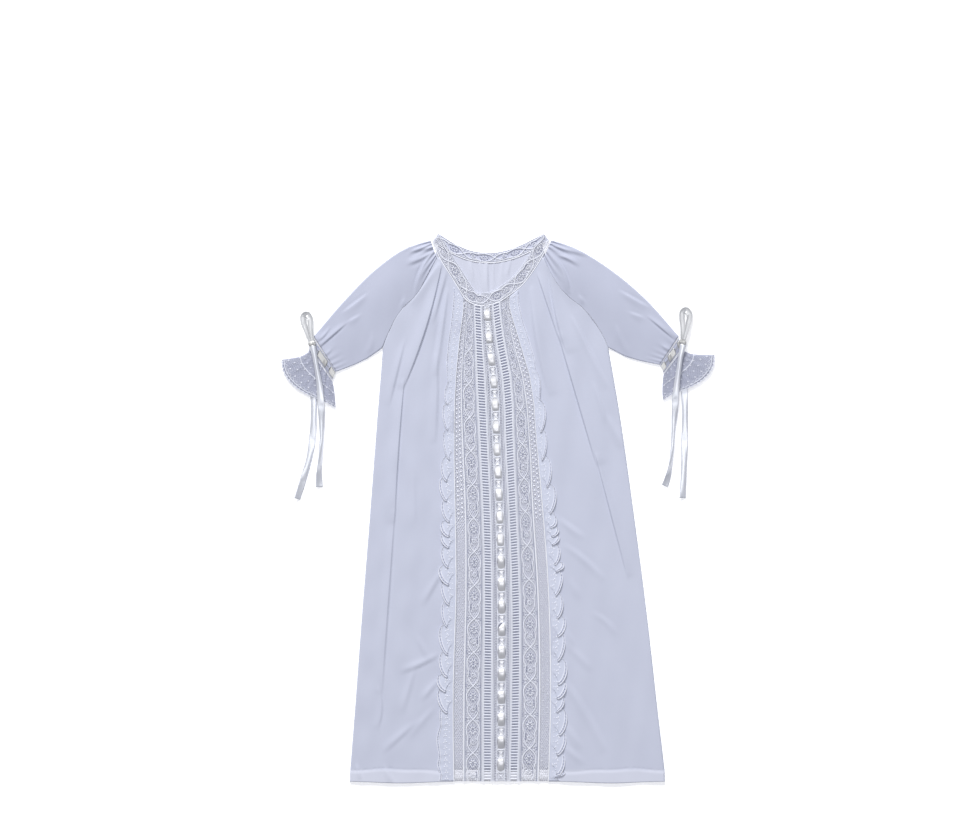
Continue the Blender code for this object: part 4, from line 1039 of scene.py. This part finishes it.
# Pinholes are open to the cloth behind; the shade inside each one is drawn as a small dark cushion
pinhole_shade = cotton_thread("Shade in the pinholes", "8f93ac", "858aa4")
neck_ground = cotton_thread("Close lace ground", "c9ccdc", "c0c3d5")
neck_meshes = []
for seam, width, away, tips, level in (
    (NECK_FRONT, BAND_WIDTH, 1, (SHOULDER_LEFT, SHOULDER_RIGHT), NECK_FRONT_Z),
    (NECK_BACK, BAND_BACK_WIDTH, -1, (SHOULDER_RIGHT, SHOULDER_LEFT), NECK_BACK_Z),
):
    length = float(walk(along(seam, 200))[-1])
    place = neck_place(seam, width, away, tips, length, level)
    ground, cords, spots, holes = floral(length, width / 2, FLORAL_START)
    holes = [hole for hole in holes if abs(hole[0]) < width / 2 - 2.0]
    if away > 0:
        backing, cord = threads(ground, lace_thread, 3), 0.9
    else:
        # Close ground, because only the white table lies under this stretch
        close = chart_grid(np.linspace(-width / 2, width / 2, 6), np.linspace(0.0, length, 90), -0.6)
        backing, cord = shell_mesh(close, neck_ground, 0.2), 0.7
    piping = [(chart_line(0.1 - width / 2, np.linspace(0.0, length, 160), 0.5), cord)]
    neck_meshes += laid([backing, threads(cords, gimp, 5), stitches(spots, gimp),
                         stitches(holes, pinhole_shade, 5), threads(piping, white_cord, 8)], place)
neck = joined("lace_neck_band", neck_meshes)
stand_for(neck, "neck_band")

# Lace panel
# The centre front is machine lace in seven strips, joined edge to edge from the neck band to the hem:
# dotted net, floral insertion and ladder insertion on each side of a ribbon beading. Its strips are
# sewn together by hand over a fine cord, and the hem is turned up behind them.
STRIP_Z = 1.85
PANEL_TOP = 232.0                    # the highest line that crosses every strip
NECK_REACH = (-60.0, 45.0)           # x between which the panel meets the neck band
STRIP_HALF = {"net": 6.0, "floral": 8.8, "ladder": 6.3, "beading": 8.0}
STRIP_LENGTH = 552.0
HEM_DEPTH = 13.0
FLORAL_STARTS = {"left": 21.0, "right": 26.0}   # where in its repeat the chart starts at the neck band
DOT_STEP, DOT_SIZE = 2.6, 2.3
DOTTED_LENGTH, LOW_DOT_SIZE = 253.0, 1.2        # the dots beyond this length are smaller
LADDER_STEP = 3.22


def strip_place(node, half, level):
    """Where a point of a strip's chart lies: u across from its middle, v down from the neck band."""
    low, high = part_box(node)
    foot = low[1] / MM + 0.1
    heights = np.linspace(foot, PANEL_TOP, 240)
    ends = outline(node, heights, 1)
    band_x = np.linspace(*NECK_REACH, 80)
    band_y = outline("neck_band", band_x, 0)[:, 0]

    def place(flat):
        across = flat[:, 0] / (2 * half) + 0.5
        down = np.clip(flat[:, 1] / STRIP_LENGTH, 0.0, 1.0)
        top_x = ends[-1, 0] + (ends[-1, 1] - ends[-1, 0]) * across
        top_y = np.interp(top_x, band_x, band_y) + 0.8
        y = top_y + (foot - top_y) * down
        left, right = np.interp(y, heights, ends[:, 0]), np.interp(y, heights, ends[:, 1])
        z = level + HEM_STEP * smooth_step(HEM_TOP - y) + 0.75 * flat[:, 2]
        return np.column_stack([left + (right - left) * across, y, z])

    return place


def strip_piece(name, node, half, wires, cords, spots, sheet=True, level=STRIP_Z, **more):
    """One strip of the panel: its ground, its cords and its raised stitches, laid on its node."""
    # The strip's own end is turned up behind it, and closes its holes there
    turned_v = STRIP_LENGTH - np.array((HEM_DEPTH, HEM_DEPTH / 2 - 0.5, 0.3))
    meshes = [shell_mesh(chart_grid(np.linspace(-half, half, 5), turned_v, -0.3), lace_thread, 0.4)]
    if wires:
        meshes.append(threads(wires, lace_thread, 3))
    meshes.append(threads(cords, more.get("seam", gimp), 5))
    if spots:
        meshes.append(stitches(spots, more.get("dots", gimp)))
    # Pinholes and slots hold painted shade: a small dark cushion in each
    if "holes" in more:
        meshes.append(stitches(more["holes"], pinhole_shade, 5))
    piece = joined(name, laid(meshes, strip_place(node, half, level)))
    stand_for(piece, node)


rail_cotton = cotton_thread("Ladder rail cotton", "eceef6", "e1e4ee")
v = np.linspace(0.0, STRIP_LENGTH, 140)
for word in ("left", "right"):
    # Net strip: staggered dots between two corded seams. It is too narrow and open for a sheet
    half = STRIP_HALF["net"]
    wires = net(2 * half - 1.0, STRIP_LENGTH, LACE_MESH, 0.62)
    cords = [(chart_line(side * (half - 0.3), v, 0.7), 1.4) for side in (-1, 1)]
    spots = []
    for row, dot_v in enumerate(np.arange(3.0, STRIP_LENGTH - 3.0, DOT_STEP)):
        size = DOT_SIZE if dot_v < DOTTED_LENGTH else LOW_DOT_SIZE
        spots.append((2.3 if row % 2 else -2.3, dot_v, 0.5, 0.0, size, 0.9 * size, 0.7 * size))
    strip_piece(f"lace_net_{word}", f"net_{word}", half, wires, cords, spots, False,
                seam=white_cord, dots=white_cord)

    # Floral strip
    half = STRIP_HALF["floral"]
    ground, cords, spots, holes = floral(STRIP_LENGTH, half, FLORAL_STARTS[word])
    strip_piece(f"lace_floral_{word}", f"floral_{word}", half, ground, cords, spots, holes=holes)

    # Ladder strip: two rails, each of two cords, and a bar every 3.2 mm
    half = STRIP_HALF["ladder"]
    cords = [(chart_line(side * u, v, 0.5), 1.35) for side in (-1, 1) for u in (half - 0.7, half - 2.0)]
    slot_shades = []
    for bar_v in np.arange(1.6, STRIP_LENGTH - 1.0, LADDER_STEP):
        cords.append((chart_line((2.0 - half, 0.0, half - 2.0), bar_v, (0.2, 0.35, 0.2)), 1.5))
        # The shade in each slot is painted as a dark cushion, as wide as the slot is open. A slot is open
        # in some stretches and half closed in others
        opened = max(0.5, 0.7 + 0.35 * math.sin(bar_v * 0.021 + half) + 0.2 * math.sin(bar_v * 0.9))
        if bar_v < STRIP_LENGTH - HEM_DEPTH - 1.0:
            slot_shades.append((0.0, bar_v + LADDER_STEP / 2, -0.1, 0.0, 2 * half - 5.4, opened, 0.5))
    strip_piece(f"lace_ladder_{word}", f"ladder_{word}", half, [], cords, [], level=STRIP_Z + 0.45,
                seam=rail_cotton, holes=slot_shades)

# Centre beading
# Ribbon beading: close net rails, and between two windows a bar of crossing threads. A drawn thread
# makes each window an oval.
BEADING_PITCH, BEADING_BAR, BEADING_WINDOWS = 26.0, 9.0, 21
BEADING_TOP = 232.0                  # upper end of the first window
WINDOW_HALF = 4.2
OVAL = 0.75                          # 1 for a true oval, less for squarer ends
half = STRIP_HALF["beading"]
beading_top = float(outline("neck_band", [-10.0], 0)[0, 0]) + 0.8
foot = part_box("centre_beading")[0][1] / MM
to_chart = STRIP_LENGTH / (beading_top - foot)
window = BEADING_PITCH - BEADING_BAR
wires, cords, spots, holes = [], [], [], []
for side in (-1, 1):
    rail_middle = side * (half + WINDOW_HALF) / 2
    rail = net(half - WINDOW_HALF - 0.6, STRIP_LENGTH, 1.9, 0.55, 0.9)
    wires += [(wire + np.array((rail_middle, 0.0, 0.0)), thick) for wire, thick in rail]
    cords += [(chart_line(side * u, v, 1.1), thick)
              for u, thick in ((half - 0.4, 1.0), (WINDOW_HALF + 0.2, 1.2))]
    for spot_v in np.arange(1.5, STRIP_LENGTH - 1.0, 3.0):
        spots.append((rail_middle, spot_v, 1.2, 90.0, 1.4, 1.1, 1.1))
        # Pinholes beside each stitch, their shade painted as a small dark cushion
        holes += [(rail_middle + side * 0.85 * shift, spot_v + 1.5 + 0.5 * shift, 1.3, 0.0, 0.9, 1.2, 0.4)
                  for shift in (-1, 1)]
turn = np.linspace(0.0, 2 * math.pi, 33)
oval_u, oval_v = (np.sign(wave) * np.abs(wave) ** OVAL for wave in (np.cos(turn), np.sin(turn)))
for k in range(BEADING_WINDOWS + 1):
    low_y = BEADING_TOP - k * BEADING_PITCH
    high_y = low_y + BEADING_BAR
    start, end = ((beading_top - y) * to_chart for y in (min(high_y, beading_top), max(low_y, foot + 0.5)))
    for edge in (start, end):
        cords.append((chart_line((-WINDOW_HALF, 0.0, WINDOW_HALF), edge, (1.2, 1.5, 1.2)), 1.1))
    if k < BEADING_WINDOWS:
        long_half = to_chart * window / 2
        for grow in (-0.3, 0.4):
            cords.append((chart_line((WINDOW_HALF + 0.1) * oval_u,
                                     end + long_half + (long_half + grow) * oval_v, 1.25), 1.0))
    middle, reach = (start + end) / 2, (end - start) / 2
    for lean in (-1, 1):
        cross_v = np.clip(middle + np.linspace(-1, 1, 7) * lean * reach * 0.95, start, end)
        cross_u = np.linspace(-WINDOW_HALF, WINDOW_HALF, 7)
        cords.append((chart_line(cross_u, cross_v, 1.3 + 0.25 * lean), 0.9))
        cords.append((chart_line(lean * (WINDOW_HALF - np.array((0.0, 1.5, 0.0))),
                                 middle + np.array((-0.5, 0.0, 0.5)) * reach, 1.2), 0.7))
strip_piece("lace_beading", "centre_beading", half, wires, cords, spots, holes=holes)

# Centre ribbon
# The same satin, 8 mm wide, woven through the beading: it stands up in each window, and is drawn
# narrow under each bar.
OPEN_WINDOWS = 11                    # the uppermost ones, where the ribbon lies open to the light
# Its crest in an open window, and in one of the others: how far down the window, and how high it stands
CREST_AT, CREST_RISE = (0.66, 0.4), (2.6, 4.0)
TWISTED_WINDOW = 14                  # the ribbon has turned on itself in this window
RIBBON_Z = 2.25
ribbon_low, ribbon_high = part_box("centre_ribbon")
ribbon_y = np.linspace(ribbon_high[1] / MM - 0.1, ribbon_low[1] / MM + 0.1, 620)
rail_ends = outline("centre_beading", np.clip(ribbon_y, foot + 0.2, PANEL_TOP), 1)
rng = np.random.default_rng(7)
swell_of = rng.uniform(0.9, 1.1, BEADING_WINDOWS + 1)
lean_of = rng.uniform(-0.5, 0.5, BEADING_WINDOWS + 1)
upper = np.arange(BEADING_WINDOWS + 1) < OPEN_WINDOWS
crest_of = np.where(upper, *CREST_AT) + rng.uniform(-0.07, 0.07, BEADING_WINDOWS + 1)
rise_of = np.where(upper, *CREST_RISE) * swell_of
rows = []
for y, (left, right) in zip(ribbon_y, rail_ends):
    k, down = divmod(BEADING_TOP - y, BEADING_PITCH)
    k, share = int(k), min(down / window, 1.0)
    bulge = math.sin(math.pi * share ** (math.log(0.5) / math.log(crest_of[k])))
    under_bar = down >= window
    end = min(share, 1 - share) / 0.22
    narrow = 0.55 if under_bar else 1.0 if end > 1 else 0.55 + 0.45 * math.sqrt(1 - (1 - end) ** 2)
    middle, wide = (left + right) / 2, min(RIBBON_WIDTH, right - left - 3.0) / 2 * narrow
    if k == TWISTED_WINDOW and not under_bar:
        untwisted = float(smooth_step(share / 0.4))
        middle += 2.2 * (1 - untwisted)
        wide *= 0.4 + 0.6 * untwisted
    height = RIBBON_Z + (0.0 if under_bar else rise_of[k] * bulge)
    rows.append([(middle + wide * part, y, height + bulge * (0.4 * lean_of[k] * part - 0.9 * part**4))
                 for part in ACROSS_RIBBON])
centre_satin = satin("White viscose satin ribbon", "e6e6e8", "d4d5da")
stand_for(cloth("satin_centre_ribbon", rows, centre_satin), "centre_ribbon")

# Ruffles
# A narrow lace edging is gathered onto each outer seam of the panel. It falls in small leaf-like folds
# that lie over one another towards the hem, flatter near the neck, with a corded free edge.
RUFFLE_FOOT, RUFFLE_Z = -314.5, 3.0
RUFFLE_WIDTH = {"left": (11.0, 18.0), "right": (10.0, 18.0)}    # at the neck, and down the skirt
RUFFLE_LIFT = 1.05                   # how high a fold stands
RUFFLE_TURN = 0.33                   # how far it turns under, as a share of its length
RUFFLE_SLANT = 0.75                  # how far its free edge hangs down, as a share of its width
NECK_RISE = {"left": 13.0, "right": 8.0}    # how far the outer corner reaches up beside the neck band
# y at which each fold turns under
RUFFLE_FOLDS = {
    "left": (178, 139, 121, 90, 61, 38, 12, -8, -24, -39, -60, -79, -105, -132, -162, -185, -203, -227,
             -258, -292),
    "right": (177, 157, 121, 90, 61, 29, -4, -17, -28, -38, -58, -69, -96, -120, -140, -170, -193, -211,
              -226, -256, -277, -300),
}
RUFFLE_ROWS = 640


def on_grid(grid, width):
    """Where a chart's u across and v along lie on the cloth of a grid, with the lift along its normal."""
    rows, columns = grid.shape[:2]
    walked = walk(grid[:, columns // 2])
    normal = np.cross(np.gradient(grid, axis=1), np.gradient(grid, axis=0))
    normal /= np.maximum(np.linalg.norm(normal, axis=2), 1e-9)[..., None]
    normal *= np.sign(normal[..., 2].sum())

    def place(flat):
        row = np.interp(flat[:, 1], walked, np.arange(rows))
        column = np.clip(flat[:, 0] / width, 0.0, 1.0) * (columns - 1)
        r = np.minimum(row.astype(int), rows - 2)
        c = np.minimum(column.astype(int), columns - 2)
        a, b = (row - r)[:, None], (column - c)[:, None]

        def at(field):
            upper = field[r, c] * (1 - b) + field[r, c + 1] * b
            lower = field[r + 1, c] * (1 - b) + field[r + 1, c + 1] * b
            return upper * (1 - a) + lower * a

        return at(grid) + at(normal) * flat[:, 2:3]

    return place, walked[-1]


ruffle_lace = cotton_thread("Gathered cotton edging", "ccd0df", "c3c8d9")
ruffle_cord = cotton_thread("Corded edge", "f0f1f8", "e6e8f2")
ruffle_shade = cotton_thread("Shade in the edging's pinholes", "abafc4", "a3a7bd")
for word, side, seed in (("left", -1, 11), ("right", 1, 23)):
    rng = np.random.default_rng(seed)
    low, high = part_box(f"net_{word}")
    top_y = high[1] / MM - 1.0
    turns_at = np.array([top_y, *RUFFLE_FOLDS[word], RUFFLE_FOOT])
    count = np.arange(len(turns_at))
    turn = np.linspace(0.0, count[-1], RUFFLE_ROWS)
    phase = 2 * math.pi * (turn - 0.25)
    y = np.interp(turn, count, turns_at)
    pitch = np.interp(turn, count[:-1] + 0.5, -np.diff(turns_at))
    vary = np.interp(turn, count, rng.uniform(0.7, 1.15, len(count)))
    heights = np.clip(y, low[1] / MM + 0.3, high[1] / MM - 12.0)
    ends = outline(f"net_{word}", heights, 1)
    sewn = ends[:, 0] + 0.6 if side < 0 else ends[:, 1] - 0.6
    share = (top_y - y) / (top_y - RUFFLE_FOOT)
    narrow, wide = RUFFLE_WIDTH[word]
    width = narrow + (wide - narrow) * smooth_step(share * 1.7)
    width = width * (1 + 0.07 * np.sin(phase * 0.37 + 1.0) + 0.05 * np.sin(phase * 0.21))
    strength = vary * smooth_step((share - 0.1) / 0.16)
    if side < 0:
        # The left ruffle is pressed flat towards the hem
        strength = strength * (1 - 0.8 * smooth_step((share - 0.83) / 0.04))
    foot_room = smooth_step((y - RUFFLE_FOOT) / 30.0)
    slanted = np.minimum(width, 0.9 * pitch) * RUFFLE_SLANT * strength * foot_room
    grid = []
    for part in np.linspace(0.0, 1.0, 9):
        wave = np.sin(phase - 0.6 * (1 - part))
        z = RUFFLE_Z + RUFFLE_LIFT * strength * part**0.7 * (0.5 + 0.5 * wave)
        z = z + 0.12 * np.sin(phase * 3.0) * part
        # A leaf is widest above its middle, and narrows to its lower tip
        reach = part * (1.04 - 0.62 * part * strength * (0.5 - 0.5 * np.cos(phase + 0.4)))
        turned = RUFFLE_TURN * np.minimum(pitch, 26.0) * strength * part**0.8 * wave * foot_room
        beside_neck = NECK_RISE[word] * part * (1 - smooth_step(share / 0.06))
        down = slanted * part**1.3 + turned - beside_neck
        grid.append(np.column_stack([sewn + side * width * reach, y - down, z]))
    grid = np.stack(grid, axis=1)
    meshes = [shell_mesh(grid if side > 0 else grid[:, ::-1], ruffle_lace, 0.3)]
    place, length = on_grid(grid, wide)
    v = np.linspace(5.0, length - 0.2, int(length / 1.2))
    lines = [(chart_line(u, v, 0.2), thick) for u, thick in ((wide - 0.3, 1.2), (wide - 2.6, 0.9))]
    seam = [(chart_line(0.5, v, 0.3), 1.2)]
    # Sprigs of three leaves and a bud run down the edging, and pinholes between its two cords
    spots = []
    for sprig_v in np.arange(3.0, length - 2.0, 7.0):
        for turned in (30.0, 150.0, 270.0):
            lean = math.radians(turned)
            spots.append((wide * 0.5 + 1.5 * math.cos(lean), sprig_v + 1.5 * math.sin(lean), 0.1, turned,
                          2.4, 1.2, 0.7))
        spots.append((wide * 0.26, sprig_v + 3.5, 0.1, 90.0, 1.8, 1.1, 0.6))
    holes = [(wide - 1.5, hole_v, 0.1, 0.0, 1.0, 2.3, 0.4) for hole_v in np.arange(1.5, length - 1.0, 2.8)]
    meshes += laid([threads(lines, ruffle_cord, 5), threads(seam, white_cord, 5),
                    stitches(spots, ruffle_cord), stitches(holes, ruffle_shade, 5)], place)
    ruffle = joined(f"lace_ruffle_{word}", meshes)
    stand_for(ruffle, f"ruffle_{word}")
